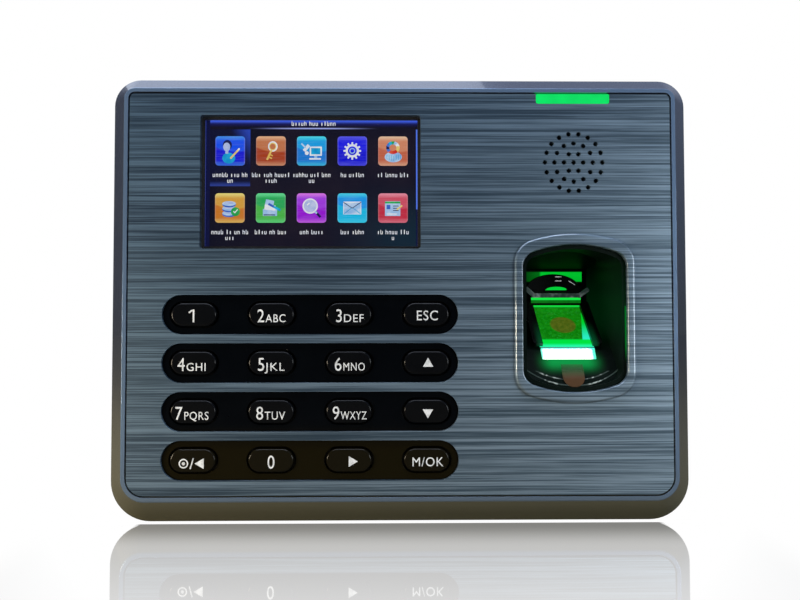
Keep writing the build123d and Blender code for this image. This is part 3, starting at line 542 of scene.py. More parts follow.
def deselect():
    if bpy.context.object and bpy.context.object.mode == "EDIT":
        objectMode()
    bpy.ops.object.select_all(action="DESELECT")


# edges softened on the frame's own shapes
softEdges = {  # mm: width of the rounded edge, and the sharpest angle left alone
    "front_bezel": (0.35, 24), "face_panel": (0.16, 40), "keypad_frame": (0.16, 40),
    "rear_cover": (0.5, 30), "wall_plate": (0.25, 40),
}


def softened(node, width, angle):
    mesh = nodes[node].data.copy()
    piece = linked(node + "_edged", mesh)
    deselect()
    bpy.context.view_layer.objects.active = piece
    piece.select_set(True)
    editAll()
    bpy.ops.mesh.remove_doubles(threshold=tiny)
    bpy.ops.mesh.dissolve_limited(angle_limit=math.radians(0.6))
    bpy.ops.mesh.normals_make_consistent(inside=False)
    objectMode()
    if mesh.has_custom_normals:
        bpy.ops.mesh.customdata_custom_splitnormals_clear()
    edge = piece.modifiers.new("edge", "BEVEL")
    edge.width = width * mm
    edge.segments = 3
    edge.limit_method = "ANGLE"
    edge.angle_limit = math.radians(angle)
    edge.use_clamp_overlap = True
    edge.harden_normals = True
    bpy.ops.object.shade_smooth()
    bpy.ops.object.modifier_apply(modifier="edge")
    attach(piece, "case")
    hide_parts(node)
    return piece


for node, (width, angle) in softEdges.items():
    made = softened(node, width, angle)
    print(node, "edges softened,", len(made.data.polygons), "faces")


# modelling helpers
def pick(piece, wanted):  # selects the edges whose two ends pass the test, ready for an operator
    bpy.ops.object.mode_set(mode="EDIT")
    bpy.ops.mesh.select_mode(type="EDGE")
    bpy.ops.mesh.select_all(action="DESELECT")
    objectMode()
    corners = piece.data.vertices
    for edge in piece.data.edges:
        first, second = (corners[i].co for i in edge.vertices)
        edge.select = wanted(first, second)
    bpy.ops.object.mode_set(mode="EDIT")


def rimOf(piece, inFront=True):  # the edges round the front face, or round the back one
    level = (min if inFront else max)(corner.co.y for corner in piece.data.vertices)
    pick(piece, lambda first, second: abs(first.y - level) < tiny and abs(second.y - level) < tiny)


def settle(piece, finish):  # its place goes into the mesh, and it gets its finish
    objectMode()
    bpy.ops.object.transform_apply(location=True, rotation=True, scale=True)
    piece.data.materials.clear()
    piece.data.materials.append(finish)
    return piece


def plate(centre, size, finish, corner=0.3, edge=0.05, turn=0.0):  # mm; turn in degrees, to the right
    deselect()
    bpy.ops.mesh.primitive_cube_add(size=1.0, scale=Vector(size) * mm)
    piece = bpy.context.object
    bpy.ops.object.transform_apply(scale=True)
    pick(piece, lambda first, second: abs(first.y - second.y) > tiny)
    bpy.ops.mesh.bevel(offset=corner * mm, segments=4, affect="EDGES")
    objectMode()
    if edge:
        rimOf(piece)
        bpy.ops.mesh.bevel(offset=edge * mm, segments=2, affect="EDGES")
        objectMode()
    piece.rotation_euler[1] = math.radians(turn)
    piece.location = Vector(centre) * mm
    return settle(piece, finish)


def disc(centre, radius, depth, finish, tall=1.0, edge=0.05, corners=28):
    deselect()
    bpy.ops.mesh.primitive_cylinder_add(vertices=corners, radius=radius * mm, depth=depth * mm,
                                        location=Vector(centre) * mm, rotation=(math.radians(90), 0, 0))
    piece = bpy.context.object
    piece.scale[1] = tall
    bpy.ops.object.transform_apply(rotation=True, scale=True)
    rimOf(piece)
    bpy.ops.mesh.bevel(offset=edge * mm, segments=2, affect="EDGES")
    return settle(piece, finish)


def ring(centre, radius, width, depth, finish, tall=1.0):
    deselect()
    bpy.ops.mesh.primitive_torus_add(major_segments=32, minor_segments=8, major_radius=radius * mm,
                                     minor_radius=width / 2 * mm, location=Vector(centre) * mm,
                                     rotation=(math.radians(90), 0, 0))
    piece = bpy.context.object
    piece.scale = (1, tall, depth / width)
    bpy.ops.object.mode_set(mode="EDIT")
    bpy.ops.mesh.normals_make_consistent(inside=False)
    return settle(piece, finish)


def joined(name, pieces, body="case"):
    deselect()
    for piece in pieces:
        piece.select_set(True)
    bpy.context.view_layer.objects.active = pieces[0]
    if len(pieces) > 1:
        bpy.ops.object.join()
    whole = bpy.context.object
    whole.name = name
    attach(whole, body)
    return whole


# the picture on the display: a lit sheet, ten tiles, their signs and their captions
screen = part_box("display_screen")
screenPicture = {
    "left": screen[0].x / mm + 0.35,
    "right": screen[1].x / mm - 0.35,
    "low": screen[0].z / mm + 0.1,
    "high": screen[1].z / mm - 0.1,
    "front": screen[0].y / mm,  # the glass; the picture lies on it
    "sheet": 0.1,        # thickness of the sheet, mm
    "tile": 9.2,
    "tileDepth": 0.14,
    "tileCorner": 1.0,
    "firstColumn": 8.5,  # from the left edge of the picture
    "columnStep": 12.7,
    "rows": (10.7, 28.6),  # below the top edge
    "captionDrop": 7.7,
    "headHeight": 3.6,
    "margin": 2.2,       # dark strip at the left edge
}


def tint(red, green, blue):  # a colour as a screen shows it, 0 to 255
    return shade(*[(value / 255) ** 2.2 for value in (red, green, blue)])


def glowing(name, first, second, scale=400.0):
    finish = Finish(name)
    cloud = finish.noise(scale, detail=2.0)
    return finish.surface(Base_Color=black, Roughness=0.4, Specular_IOR_Level=0.1,
                          Emission_Color=finish.mix(cloud.between(0.3, 0.7), first, second))


def sheetFinish():
    place = screenPicture
    finish = Finish("screenSheet")
    x, y, z = finish.axes()
    left, right, top = place["left"] * mm, place["right"] * mm, place["high"] * mm
    middle = (left + right) / 2
    cloud = finish.noise(60.0, detail=3.0)
    tone = finish.mix(cloud.between(0.3, 0.75), tint(12, 10, 34), tint(30, 22, 38))
    corner = (x - left).between(0.035, 0.066) * (1 - (z - top).between(-0.038, -0.018))
    tone = finish.mix(corner * 0.8, tone, tint(16, 46, 62))
    drop = (top - z) / mm
    head = 1 - drop.between(1.3, 3.4)
    band = finish.mix(drop.between(1.1, 2.3), tint(70, 104, 250), tint(30, 36, 120))
    tone = finish.mix(head, tone, band)
    line = drop.between(place["headHeight"] - 0.28, place["headHeight"] - 0.12)
    line = line * (1 - drop.between(place["headHeight"] + 0.1, place["headHeight"] + 0.3))
    line = line * (1 - ((x - middle - 0.5 * mm) / (21 * mm)).size().between(0.1, 1.0))
    tone = finish.mix(line, tone, tint(170, 180, 255))
    behind = (x - (left + place["firstColumn"] * mm)).size().between(6.35 * mm, 6.15 * mm)
    behind = behind * drop.between(3.8, 4.1) * (1 - drop.between(21.6, 21.9))
    sweep = (x - left) / (13 * mm) + drop * -0.04
    chosen = finish.mix(sweep.between(0.45, 1.05), tint(11, 15, 52), tint(48, 78, 200))
    tone = finish.mix(behind, tone, chosen)
    foot = behind * drop.between(20.0, 21.8)
    tone = finish.mix(foot * 0.7, tone, tint(58, 80, 180))
    strip = (x - left).under(place["margin"] * mm)
    tone = finish.mix(strip, tone, tint(14, 18, 64))
    thread = (x - (left + 0.75 * mm)).size().under(0.16 * mm) * (1 - drop.between(8.0, 40.0) * 0.6)
    tone = finish.mix(thread, tone, tint(60, 90, 240))
    slider = (x - (right - 0.95 * mm)).size().under(0.33 * mm) * drop.over(3.9)
    tone = finish.mix(slider, tone, finish.mix(drop.over(29.0), tint(92, 130, 255), tint(16, 22, 70)))
    return finish.surface(Base_Color=black, Roughness=0.3, Specular_IOR_Level=0.2,
                          Emission_Color=tone)


def tileFinish(name, centreX, centreZ, top, low):  # glossy button: pale upper edge, curved shine
    finish = Finish(name)
    x, y, z = finish.axes()
    half = screenPicture["tile"] / 2 * mm
    up = (z - centreZ * mm) / half
    side = (x - centreX * mm) / half
    brush = finish.noise(1.0, (160, 1, 2600), 2.0)
    sheen = up - side * side * 0.18 + side * 0.12
    tone = finish.mix(sheen.between(-0.12, 0.02), tint(*low), tint(*top))
    light = tint(*[min(255, value + 80) for value in top])
    tone = finish.mix(up.between(0.6, 1.0) * 0.75, tone, light)
    tone = finish.mix((up * -1).between(0.6, 1.0) * 0.4, tone, light)
    tone = finish.mix(side.size().between(0.9, 1.0) * 0.12, tone, tint(250, 250, 255))
    tone = finish.mix(brush.between(0.4, 0.7) * 0.05, tone, tint(255, 255, 255))
    return finish.surface(Base_Color=black, Roughness=0.3, Specular_IOR_Level=0.2,
                          Emission_Color=tone)


signInk = {
    "white": glowing("inkWhite", tint(235, 240, 255), tint(255, 255, 255)),
    "pale": glowing("inkPale", tint(150, 195, 245), tint(205, 228, 255)),
    "blue": glowing("inkBlue", tint(40, 84, 190), tint(80, 130, 225)),
    "dark": glowing("inkDark", tint(18, 24, 70), tint(34, 40, 96)),
    "cyan": glowing("inkCyan", tint(0, 150, 215), tint(40, 190, 240)),
    "yellow": glowing("inkYellow", tint(235, 196, 96), tint(255, 232, 150)),
    "green": glowing("inkGreen", tint(18, 150, 70), tint(60, 190, 96)),
    "red": glowing("inkRed", tint(214, 44, 40), tint(240, 96, 60)),
    "skin": glowing("inkSkin", tint(205, 215, 250), tint(170, 190, 240)),
}


class Sign:  # the small picture on a tile, drawn from its centre in mm, x to the right and z up
    def __init__(self, x, z, front):
        self.x = x
        self.z = z
        self.front = front
        self.pieces = []
        self.layer = 0.0

    def at(self, x, z):
        self.layer += 0.012  # each piece a little in front of the last one
        return (self.x + x, self.front - 0.03 - self.layer, self.z + z)

    def bar(self, ink, x, z, width, height, turn=0.0, corner=0.12):
        corner = min(corner, width * 0.45, height * 0.45)
        size = (width, 0.06, height)
        self.pieces.append(plate(self.at(x, z), size, signInk[ink], corner, 0.015, turn))

    def dot(self, ink, x, z, radius, tall=1.0):
        self.pieces.append(disc(self.at(x, z), radius, 0.06, signInk[ink], tall, 0.015))

    def hoop(self, ink, x, z, radius, width, tall=1.0):
        self.pieces.append(ring(self.at(x, z), radius, width, 0.08, signInk[ink], tall))


def personSign(sign):
    sign.dot("cyan", -0.4, -2.3, 2.0, 0.85)
    sign.bar("skin", -1.0, -0.1, 0.9, 1.6)
    sign.dot("dark", -0.85, 1.8, 1.4, 1.15)
    sign.dot("skin", -1.05, 1.2, 1.1, 1.25)
    sign.bar("yellow", 1.5, -0.9, 0.55, 4.2, 42)
    sign.bar("white", 2.75, 0.5, 0.5, 0.6, 42)


def keySign(sign):
    sign.hoop("white", 0.6, 1.4, 1.25, 0.5, 1.1)
    sign.hoop("yellow", 0.6, 1.35, 1.0, 0.3, 1.1)
    sign.bar("yellow", -0.45, -1.2, 0.6, 3.6, 24)
    sign.bar("yellow", -0.1, -2.2, 1.0, 0.4, 24)
    sign.bar("yellow", 0.2, -1.4, 0.9, 0.35, 24)


def computerSign(sign):
    sign.bar("white", 1.3, -0.1, 3.8, 2.9)
    sign.bar("cyan", 1.3, -0.1, 2.9, 2.0)
    sign.bar("pale", 1.3, -2.0, 0.9, 0.9)
    sign.bar("white", 1.1, -2.5, 3.6, 0.5)
    sign.bar("white", -1.6, 0.9, 1.0, 2.4, 40)
    sign.bar("pale", -2.5, 1.6, 0.5, 2.0, -45)
    sign.dot("white", -1.5, -0.7, 0.6)


def gearSign(sign):
    teeth = 12
    for tooth in range(teeth):
        angle = 2 * math.pi * tooth / teeth
        sign.bar("white", 2.3 * math.sin(angle), 2.3 * math.cos(angle), 0.55, 0.9,
                 math.degrees(angle), 0.1)
    sign.hoop("white", 0, 0, 1.75, 0.7)
    sign.hoop("pale", 0, 0, 0.75, 0.3)


def chartSign(sign):
    sign.dot("pale", 0.1, -1.9, 2.7, 0.62)
    for bar in range(9):
        sign.bar("cyan", -2.1 + bar * 0.55, -1.9 - 0.1 * (4 - abs(bar - 4)), 0.16, 1.6, 0, 0.03)
    inks = "green pale white yellow yellow red red red blue dark blue cyan".split()
    for step, ink in enumerate(inks):
        angle = 2 * math.pi * step / len(inks)
        sign.bar(ink, 1.6 * math.sin(angle), 1.0 + 1.5 * math.cos(angle), 1.0, 1.0,
                 math.degrees(angle), 0.1)


def storeSign(sign):
    for level in range(3):
        z = -1.7 + level * 1.5
        sign.dot("blue", -0.2, z - 0.3, 2.1, 0.42)
        sign.dot("pale", -0.2, z + 0.05, 2.1, 0.36)
        sign.dot("skin", -0.2, z + 0.2, 1.5, 0.24)
    sign.dot("green", 1.8, -1.2, 1.4)
    sign.bar("white", 1.45, -1.35, 0.3, 0.8, -45, 0.05)
    sign.bar("white", 2.0, -1.05, 0.3, 1.5, 40, 0.05)


def driveSign(sign):
    sign.bar("pale", -0.4, 1.3, 2.6, 2.4, 12)
    sign.bar("pale", -0.2, -1.4, 4.4, 2.2)
    sign.bar("white", -0.2, 0.1, 3.4, 1.6, 6)
    sign.bar("blue", 0.9, 0.4, 3.6, 0.7, 28)
    sign.bar("cyan", 2.0, -0.2, 2.4, 0.7, 28)
    sign.bar("dark", -0.4, -2.2, 3.6, 0.3)


def searchSign(sign):
    sign.dot("skin", -0.4, 0.6, 2.0)
    sign.hoop("white", -0.4, 0.6, 2.15, 0.5)
    sign.bar("white", -1.0, 1.2, 1.1, 0.4, -40)
    sign.bar("dark", 2.0, -2.0, 0.75, 2.4, -42)
    sign.bar("pale", 1.4, -1.4, 0.6, 0.9, -42)


def letterSign(sign):
    sign.bar("white", 0, 0, 5.6, 4.0)
    sign.bar("pale", 0, -0.1, 5.2, 3.5)
    sign.bar("cyan", -1.35, -0.9, 0.2, 3.1, 52, 0.05)
    sign.bar("cyan", 1.35, -0.9, 0.2, 3.1, -52, 0.05)
    sign.bar("dark", -1.35, 0.85, 0.22, 3.4, -56, 0.05)
    sign.bar("dark", 1.35, 0.85, 0.22, 3.4, 56, 0.05)


def cardSign(sign):
    sign.bar("pale", -0.1, -0.2, 4.8, 4.6)
    sign.bar("green", -0.1, 1.7, 4.8, 0.6)
    sign.bar("blue", -1.4, 0.3, 1.2, 1.4)
    for line in range(3):
        sign.bar("dark", 0.9, 0.6 - line * 0.7, 1.8, 0.25)
    sign.bar("yellow", 2.0, 0.1, 0.5, 2.2, 52)
    sign.bar("white", -0.4, -1.9, 3.2, 0.3)


tiles = [  # sign, colours above and below the shine, and the lengths of the caption's words
    (personSign, (0, 84, 255), (0, 14, 226), (5, 3, 2), (2,)),
    (keySign, (206, 122, 78), (176, 66, 26), (3, 3, 5), (4,)),
    (computerSign, (0, 168, 244), (0, 126, 224), (5, 3, 3), (2,)),
    (gearSign, (22, 22, 246), (6, 0, 226), (2, 5), ()),
    (chartSign, (222, 140, 104), (206, 104, 72), (2, 4, 3), ()),
    (storeSign, (226, 166, 62), (214, 124, 30), (4, 2, 2, 2), (3,)),
    (driveSign, (40, 178, 92), (76, 192, 74), (4, 2, 3), ()),
    (searchSign, (170, 60, 240), (160, 10, 226), (3, 4), ()),
    (letterSign, (0, 160, 250), (0, 196, 246), (3, 4), ()),
    (cardSign, (220, 82, 104), (206, 44, 70), (2, 4, 3), (1,)),
]


def caption(words, centreX, centreZ, seed):  # a line of small plain strokes, no lettering
    letter = 0.98
    gap = 0.62
    total = sum(words) * letter + (len(words) - 1) * gap
    x = centreX - total / 2
    count = seed
    strokes = []
    for word in words:
        for _ in range(word):
            count += 1
            tall = 1.4 if count * 7 % 5 in (0, 3) else 1.0
            shape = count * 3 % 7
            if shape in (0, 4):
                strokes.append((x + letter / 2, centreZ + tall / 2, 0.3, tall))
            else:  # two legs and a bar across
                strokes.append((x + 0.22, centreZ + tall / 2, 0.2, tall))
                strokes.append((x + 0.72, centreZ + 0.5, 0.2, 1.0))
                strokes.append((x + 0.47, centreZ + (0.1 if shape % 2 else 0.9), 0.5, 0.2))
            x += letter
        x += gap
    return strokes


def addScreen():
    place = screenPicture
    middle = (place["left"] + place["right"]) / 2
    centre = (middle, place["front"] - place["sheet"] / 2 - 0.01, (place["low"] + place["high"]) / 2)
    size = (place["right"] - place["left"], place["sheet"], place["high"] - place["low"])
    picture = plate(centre, size, sheetFinish(), 0.4, 0.02)
    joined("display_picture", [picture])
    sheetFront = place["front"] - place["sheet"] - 0.02
    tileFront = sheetFront - place["tileDepth"]
    strokes = []
    for number, (sign, above, below, firstLine, secondLine) in enumerate(tiles):
        x = place["left"] + place["firstColumn"] + number % 5 * place["columnStep"]
        z = place["high"] - place["rows"][number // 5]
        name = "display_tile_%d" % (number + 1)
        size = (place["tile"], place["tileDepth"], place["tile"])
        base = plate((x, (sheetFront + tileFront) / 2, z), size, tileFinish(name, x, z, above, below),
                     place["tileCorner"], 0.06)
        drawn = Sign(x, z, tileFront)
        sign(drawn)
        joined(name, [base] + drawn.pieces)
        strokes += caption(firstLine, x, z - place["captionDrop"] - 0.5, number * 3)
        if secondLine:
            strokes += caption(secondLine, x, z - place["captionDrop"] - 2.3, number * 5)
    strokes += caption((5, 3, 5), middle + 0.6, place["high"] - 2.75, 4)
    model = plate((0, 0, 0), (1, 0.05, 1), signInk["white"], 0.25, 0)
    marks = []
    for x, z, wide, tall in strokes:
        mark = linked("display_captions", model.data.copy())
        for corner in mark.data.vertices:
            corner.co.x = corner.co.x * wide + x * mm
            corner.co.y += (sheetFront - 0.03) * mm
            corner.co.z = corner.co.z * tall + z * mm
        marks.append(mark)
    bpy.data.objects.remove(model)
    joined("display_captions", marks)
    print("screen drawn,", len(strokes), "strokes in the captions")


addScreen()


# printed signs on the keys, one piece on each key
keyPrint = {
    "digit": 5.7,       # letter height setting of the figures, mm
    "letters": 3.5,
    "narrow": 0.84,
    "gap": 0.4,         # between the figure and its letters
    "depth": 0.05,
    "drop": 2.35,       # baseline below the middle of the key
    "arrow": 3.2,
}


def printInk():
    finish = Finish("keyPrint")
    wear_and_painted_light = finish.noise(700.0, detail=3.0)
    tone = finish.mix(wear_and_painted_light.between(0.3, 0.6), shade(0.4, 0.42, 0.43), shade(0.58, 0.6, 0.61))
    # painted light: the print also shines a little with its own tone, though it is no lamp
    return finish.surface(Base_Color=tone, Roughness=0.5 + wear_and_painted_light * 0.1, Emission_Color=tone,
                          Emission_Strength=0.36)


legendInk = printInk()


def lettering(text, height, x, y, z, stretch=1.0):  # left end and baseline, mm
    deselect()
    bpy.ops.object.text_add()
    words = bpy.context.object
    words.data.body = text
    words.data.size = height * mm
    words.data.extrude = keyPrint["depth"] / 2 * mm
    words.data.resolution_u = 4
    words.data.space_character = 1.1
    words.scale = (keyPrint["narrow"] * stretch, 1, 1)
    words.rotation_euler = (math.radians(90), 0, 0)
    bpy.ops.object.convert(target="MESH")
    piece = bpy.context.object
    piece.location = Vector((x, y, z)) * mm
    editAll()
    bpy.ops.mesh.remove_doubles(threshold=tiny / 2)
    bpy.ops.mesh.normals_make_consistent(inside=False)
    return settle(piece, legendInk)


def arrow(x, y, z, turn):  # a triangle; 0 points up
    deselect()
    radius = keyPrint["arrow"] / math.sqrt(3) * mm
    bpy.ops.mesh.primitive_cylinder_add(vertices=3, radius=radius, depth=keyPrint["depth"] * mm,
                                        rotation=(math.radians(-90), 0, 0))
    piece = bpy.context.object
    bpy.ops.object.transform_apply(rotation=True)
    top = max(corner.co.z for corner in piece.data.vertices)
    if top < radius * 0.9:
        piece.rotation_euler[1] = math.pi
        bpy.ops.object.transform_apply(rotation=True)
    pick(piece, lambda first, second: abs(first.y - second.y) > tiny)
    bpy.ops.mesh.bevel(offset=0.12 * mm, segments=2, affect="EDGES")
    objectMode()
    piece.rotation_euler[1] = math.radians(turn)
    piece.location = Vector((x, y, z)) * mm
    return settle(piece, legendInk)


def keyFace(key):  # the middle of a key's face, and just in front of it, mm
    low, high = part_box("key_" + key)
    return (low.x + high.x) / 2 / mm, low.y / mm - keyPrint["depth"] / 2, (low.z + high.z) / 2 / mm


def printOn(key, pieces):
    joined("key_%s_print" % key, pieces, "key_%s_cap" % key)


def addKeyPrint():
    digits = {  # letters, where the sign starts from the key's middle in mm, and width of the letters
        "1": ("", -1.2, 1), "2": ("ABC", -4.4, 1.04), "3": ("DEF", -4.2, 1.2),
        "4": ("GHI", -4.8, 1.16), "5": ("JKL", -4.2, 1.34), "6": ("MNO", -4.5, 0.94),
        "7": ("PQRS", -5.5, 1.02), "8": ("TUV", -4.6, 1.06), "9": ("WXYZ", -5.1, 0.86),
        "0": ("", -1.1, 1),
    }
    depth = keyPrint["depth"]
    for key, (letters, start, stretch) in digits.items():
        x, y, z = keyFace(key)
        x += start
        z -= keyPrint["drop"]
        pieces = [lettering(key, keyPrint["digit"], x, y, z)]
        if letters:
            after = max(corner.co.x for corner in pieces[0].data.vertices) / mm + keyPrint["gap"]
            pieces.append(lettering(letters, keyPrint["letters"], after, y, z, stretch))
        if key == "1":  # the flag at the top of the figure
            pieces.append(plate((x + 0.3, y, z + 3.3), (1.3, depth, 0.5), legendInk, 0.05, 0, -38))
        printOn(key, pieces)
    words = {  # text, letter height, start, drop and width
        "esc": ("ESC", 4.3, -3.2, 1.8, 1.08), "ok": ("M/OK", 3.9, -4.6, 1.8, 1.1),
    }
    for key, (text, size, start, drop, stretch) in words.items():
        x, y, z = keyFace(key)
        printOn(key, [lettering(text, size, x + start, y, z - drop, stretch)])
    for key, turn, right in (("up", 0, 0.5), ("down", 180, 0.4), ("right", 90, 0.9)):
        x, y, z = keyFace(key)
        printOn(key, [arrow(x + right, y, z - 0.3, turn)])
    x, y, z = keyFace("power")
    x += 0.3
    z -= 0.8
    printOn("power", [ring((x - 3.0, y, z), 1.25, 0.38, depth, legendInk),
                      disc((x - 3.0, y, z), 0.5, depth, legendInk, 1.0, 0.01),
                      plate((x - 0.5, y, z), (0.35, depth, 3.4), legendInk, 0.1, 0, 16),
                      arrow(x + 2.2, y, z, -90)])
    print("key signs printed")


addKeyPrint()


# what shows inside the well: hood, smoked shroud, glass edge, ridges and the film's tab
wellParts = {  # mm; places are from the middle of the platen's upper edge
    "hoodAt": (-1.1, -1.1, 5.6),
    "hoodRadius": 9.2,
    "hoodTall": 0.57,
    "hoodDepth": 1.0,
    # dashWidth: the hood's painted highlight bars
    "dashWidth": 2.2,
    "shroudAt": (-0.2, -1.9, 3.5),
    "shroudSize": (16.6, 0.5, 1.5),
    "ridgeRadius": 22.3,
    "ridgeThick": 0.5,
    "ridgeLean": 62.5,   # degrees from level, as the lower lip
    "tabWidth": 6.8,
    "tabHeight": 6.75,
    "tabThick": 0.16,
    "tabDrop": 1.3,      # its top end below the film's own
    "tabAside": 0.25,
    "lipSlopes": (0.617, 0.364),  # above and below the bend
}


def shroudFinish():
    finish = Finish("smokedShroud")
    smoke_and_painted_light = finish.noise(420.0, detail=3.0)
    tone = finish.mix(smoke_and_painted_light.between(0.3, 0.7), shade(0.05, 0.06, 0.06), shade(0.14, 0.16, 0.16))
    # painted light: the brighter patches of the smoked plastic shine, standing in for light and highlights on the
    # shroud
    return finish.surface(Base_Color=tone, Roughness=0.12 + smoke_and_painted_light * 0.15, Coat_Weight=0.8,
                          Coat_Roughness=0.05,
                          Emission_Color=finish.mix(smoke_and_painted_light.between(0.45, 0.8), shade(0.012, 0.022, 0.02),
                                                    shade(0.16, 0.2, 0.19)))


def edgeFinish(lowZ, highZ):
    finish = Finish("glassEdge")
    x, y, z = finish.axes()
    rise = (z - lowZ * mm) / ((highZ - lowZ) * mm)
    mottle = finish.noise(800.0, detail=2.0)
    # painted light: the glass edge shines green, mottled, with two brighter lines
    tone = finish.mix(mottle, shade(0.0, 0.1, 0.003), shade(0.002, 0.2, 0.008))
    tone = finish.mix(rise.between(0.7, 0.78), tone, shade(0.005, 0.8, 0.06))
    tone = finish.mix((rise - 0.12).size().under(0.09), tone, shade(0.005, 0.7, 0.05))
    return finish.surface(Base_Color=shade(0.0, 0.01, 0.0), Roughness=0.2, Emission_Color=tone)


def addHood(middle, y, z):
    part = wellParts
    x, back, up = part["hoodAt"]
    hood = disc((middle + x, y + back, z + up), part["hoodRadius"], part["hoodDepth"],
                finishes["sensor_grey"], part["hoodTall"], 0.3, 48)
    editAll()
    bpy.ops.mesh.bisect(plane_co=(0, 0, (z + up) * mm), plane_no=(0, 0, 1), use_fill=True,
                        clear_inner=True)
    objectMode()
    front = y + back - part["hoodDepth"] / 2 - 0.02
    # painted highlights: shining bars laid on the hood's front
    shine = glowing("hoodShine", shade(0.25, 0.27, 0.27), shade(0.7, 0.72, 0.72), 2500.0)
    long = (part["dashWidth"], 0.1, 0.2)
    painted_highlights = [plate((middle + 0.6, front, z + up + rise), long, shine, 0.08, 0) for rise in (2.9, 4.3)]
    painted_highlights.append(plate((middle + 5.3, front, z + up + 2.2), (2.6, 0.1, 0.16), shine, 0.06, 0, 32))
    joined("sensor_hood", [hood] + painted_highlights)


def addShroud(middle, y, z):
    part = wellParts
    x, back, up = part["shroudAt"]
    wide, thick, tall = part["shroudSize"]
    smoked = shroudFinish()
    x += middle
    back += y
    up += z
    pieces = [plate((x, back, up), part["shroudSize"], smoked, 0.3, 0.12)]
    for aside, rise, long, turn in ((-wide / 2 - 0.6, 1.1, 4.4, 43), (wide / 2 + 0.9, 0.9, 4.6, -36)):
        end = (x + aside, back - 0.1, up + rise)
        pieces.append(plate(end, (long, thick, 1.5), smoked, 0.4, 0.12, turn))
    joined("sensor_shroud", pieces)
    low, high = z - 0.5, up - tall / 2 + 0.1
    size = prism[1].x - prism[0].x
    strip = plate((middle, y - 0.6, (low + high) / 2), (size / mm, 0.4, high - low),
                  edgeFinish(low, high), 0.05, 0.04)
    joined("sensor_glass_edge", [strip])


def ridgeFinish(middle):  # painted glints: the crests shine to each side of the tab
    finish = Finish("ridgeBlack")
    x, y, z = finish.axes()
    away = (x - middle).size()
    wear_and_painted_glint = finish.noise(700.0, detail=1.0)
    painted_light_beside = away.between(3.5 * mm, 6 * mm) * (1 - away.between(8.5 * mm, 11 * mm))
    glint = wear_and_painted_glint.between(0.42, 0.6) * painted_light_beside
    # painted highlight: the glints are emission
    painted_glow = finish.mix(glint * 0.8, shade(0.008, 0.02, 0.014), shade(0.42, 0.5, 0.48))
    return finish.surface(Base_Color=shade(0.03, 0.035, 0.035), Roughness=0.1 + wear_and_painted_glint * 0.05,
                          Coat_Weight=1.0, Emission_Color=painted_glow)


def addRidges(middle):
    part = wellParts
    lean = math.radians(part["ridgeLean"])
    upSlope = Vector((0, math.cos(lean), math.sin(lean)))
    corner = well[0] / mm
    foot = Vector((middle + 0.2, corner.y + 1.6, corner.z + 1.7))
    ridge = ridgeFinish(middle * mm)
    made = []
    for rise, cut in ((0.0, 5.0), (1.8, 4.4)):
        centre = foot + upSlope * (part["ridgeRadius"] + rise)
        deselect()
        bpy.ops.mesh.primitive_torus_add(major_segments=160, minor_segments=10,
                                         major_radius=part["ridgeRadius"] * mm,
                                         minor_radius=part["ridgeThick"] / 2 * mm,
                                         location=centre * mm, rotation=(lean, 0, 0))
        piece = bpy.context.object
        bpy.ops.object.transform_apply(location=True, rotation=True)
        bpy.ops.object.mode_set(mode="EDIT")
        bpy.ops.mesh.select_all(action="SELECT")
        bpy.ops.mesh.bisect(plane_co=(0, 0, (foot.z + cut) * mm), plane_no=(0, 0, 1), use_fill=True,
                            clear_outer=True)
        bpy.ops.mesh.select_all(action="SELECT")
        bpy.ops.mesh.normals_make_consistent(inside=False)
        made.append(settle(piece, ridge))
    joined("well_ridges", made)


def addFilmTab(middle):
    part = wellParts
    bend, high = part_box("film_tab")  # the lip turns steeper at the film's lower end
    top = high.z / mm - part["tabDrop"]
    deselect()
    size = Vector((part["tabWidth"], part["tabThick"], part["tabHeight"]))
    bpy.ops.mesh.primitive_cube_add(size=1.0, scale=size * mm)
    tab = bpy.context.object
    bpy.ops.object.transform_apply(scale=True)
    pick(tab, lambda first, second: abs(first.y - second.y) > tiny and first.z < 0)
    bpy.ops.mesh.bevel(offset=part["tabWidth"] * 0.47 * mm, segments=10, affect="EDGES")
    for step in range(1, 12):  # cuts across, so that it can follow the lip
        bpy.ops.mesh.select_all(action="SELECT")
        level = part["tabHeight"] * (step / 12 - 0.5) * mm
        bpy.ops.mesh.bisect(plane_co=(0, 0, level), plane_no=(0, 0, 1))
    objectMode()
    for corner in tab.data.vertices:
        z = top - part["tabHeight"] / 2 + corner.co.z / mm
        over = z - bend.z / mm
        slope = part["lipSlopes"][0 if over > 0 else 1]
        corner.co.y += bend.y - 0.1 * mm + over * slope * mm
        corner.co.x += (middle + part["tabAside"]) * mm
        corner.co.z = z * mm
    tab.data.materials.append(filmFinish())
    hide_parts("film_tab")
    joined("film_pull_tab", [tab])


def filmFinish():
    finish = Finish("filmTab")
    x, y, z = finish.axes()
    crease = finish.noise(300.0, detail=3.0)
    tone = finish.mix(crease, shade(0.05, 0.026, 0.009), shade(0.08, 0.038, 0.014))
    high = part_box("film_tab")[1].z
    # painted light: the top turns green where the lamp's light falls on it
    tone = finish.mix(z.between(high - 5.5 * mm, high - 2.5 * mm) * 0.7, tone, shade(0.01, 0.1, 0.03))
    finish.bump(crease, 0.2, 0.0001)
    # painted light: the film also shines faintly with its own colour
    return finish.surface(Base_Color=tone, Roughness=0.3 + crease * 0.1, Specular_IOR_Level=0.3,
                          Alpha=1 - z.between(high - 4.5 * mm, high - 1.0 * mm) * 0.75,
                          Emission_Color=tone, Emission_Strength=0.15)


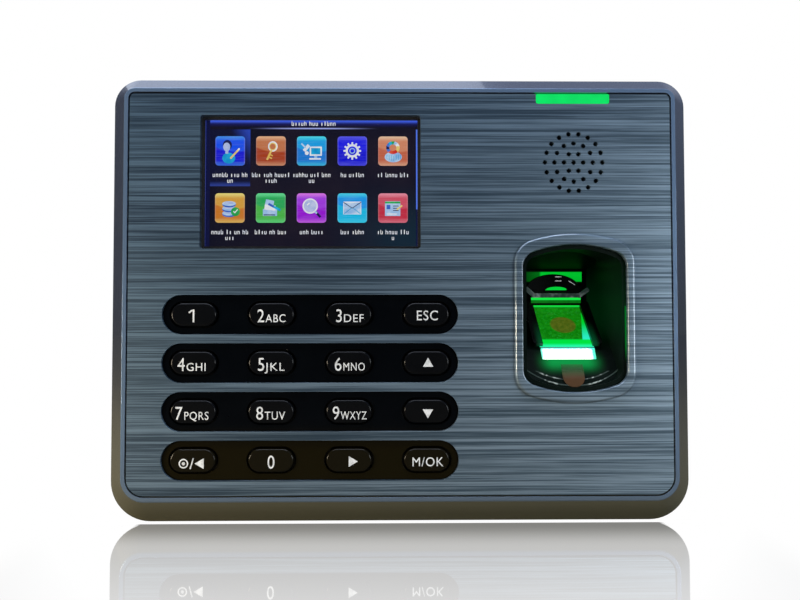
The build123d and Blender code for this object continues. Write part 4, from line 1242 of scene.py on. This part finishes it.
# soft pieces inside the case: the mat's sheet, a dome under each key, and the tamper spring's coil
softParts = {  # mm
    "domeWide": 10.0,
    "domeTall": 5.4,
    "domeDeep": 1.5,
    "domeTop": 0.8,     # share of the width left at the top
    "clearance": 0.03,  # added to a pressed piece's travel
}


def travel(joint):
    return [one for one in frame["joints"] if one["name"] == joint][0]["range_m"][1] / mm


def addDome(key, base, finish):
    part = softParts
    low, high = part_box(key)
    centre = Vector(((low.x + high.x) / 2, base - part["domeDeep"] / 2 * mm, (low.z + high.z) / 2))
    deselect()
    bpy.ops.mesh.primitive_cone_add(vertices=32, radius1=0.5, radius2=0.5 * part["domeTop"], depth=1.0,
                                    rotation=(math.radians(90), 0, 0))
    dome = bpy.context.object
    bpy.ops.object.transform_apply(rotation=True)
    dome.scale = Vector((part["domeWide"], part["domeDeep"], part["domeTall"])) * mm
    dome.location = centre
    dome = joined(key + "_dome", [settle(dome, finish)])
    pressed = travel(key + "_press") + part["clearance"]
    1 - pressed / part["domeDeep"]
    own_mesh(dome)


def addMat():
    low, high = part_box("keypad_mat")
    base = low.y + softParts["domeDeep"] * mm
    centre = Vector((low.x + high.x, base + high.y, low.z + high.z)) / 2 / mm
    size = Vector((high.x - low.x, high.y - base, high.z - low.z)) / mm
    silicone = nodes["keypad_mat"].data.materials[0]
    sheet = plate(centre, size, silicone, 1.0, 0.1)
    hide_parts("keypad_mat")
    joined("keypad_mat_sheet", [sheet])
    for joint in frame["joints"]:
        if joint["name"].startswith("key_"):
            addDome(joint["name"].replace("_press", ""), base, silicone)


def addSpring():
    low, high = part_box("tamper_spring")
    coil = linked("tamper_spring_coil", nodes["tamper_spring"].data.copy())
    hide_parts("tamper_spring")
    joined("tamper_spring_coil", [coil])
    pressed = travel("tamper_press") + softParts["clearance"]
    1 - pressed / ((high.y - low.y) / mm)
    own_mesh(coil)


def addWellParts():
    low, high = prism
    middle = (low.x + high.x) / 2 / mm
    addHood(middle, high.y / mm, high.z / mm)
    addShroud(middle, high.y / mm, high.z / mm)
    addRidges(middle)
    addFilmTab(middle)
    print("well furnished")


addWellParts()
addMat()
addSpring()
print("soft pieces in place")
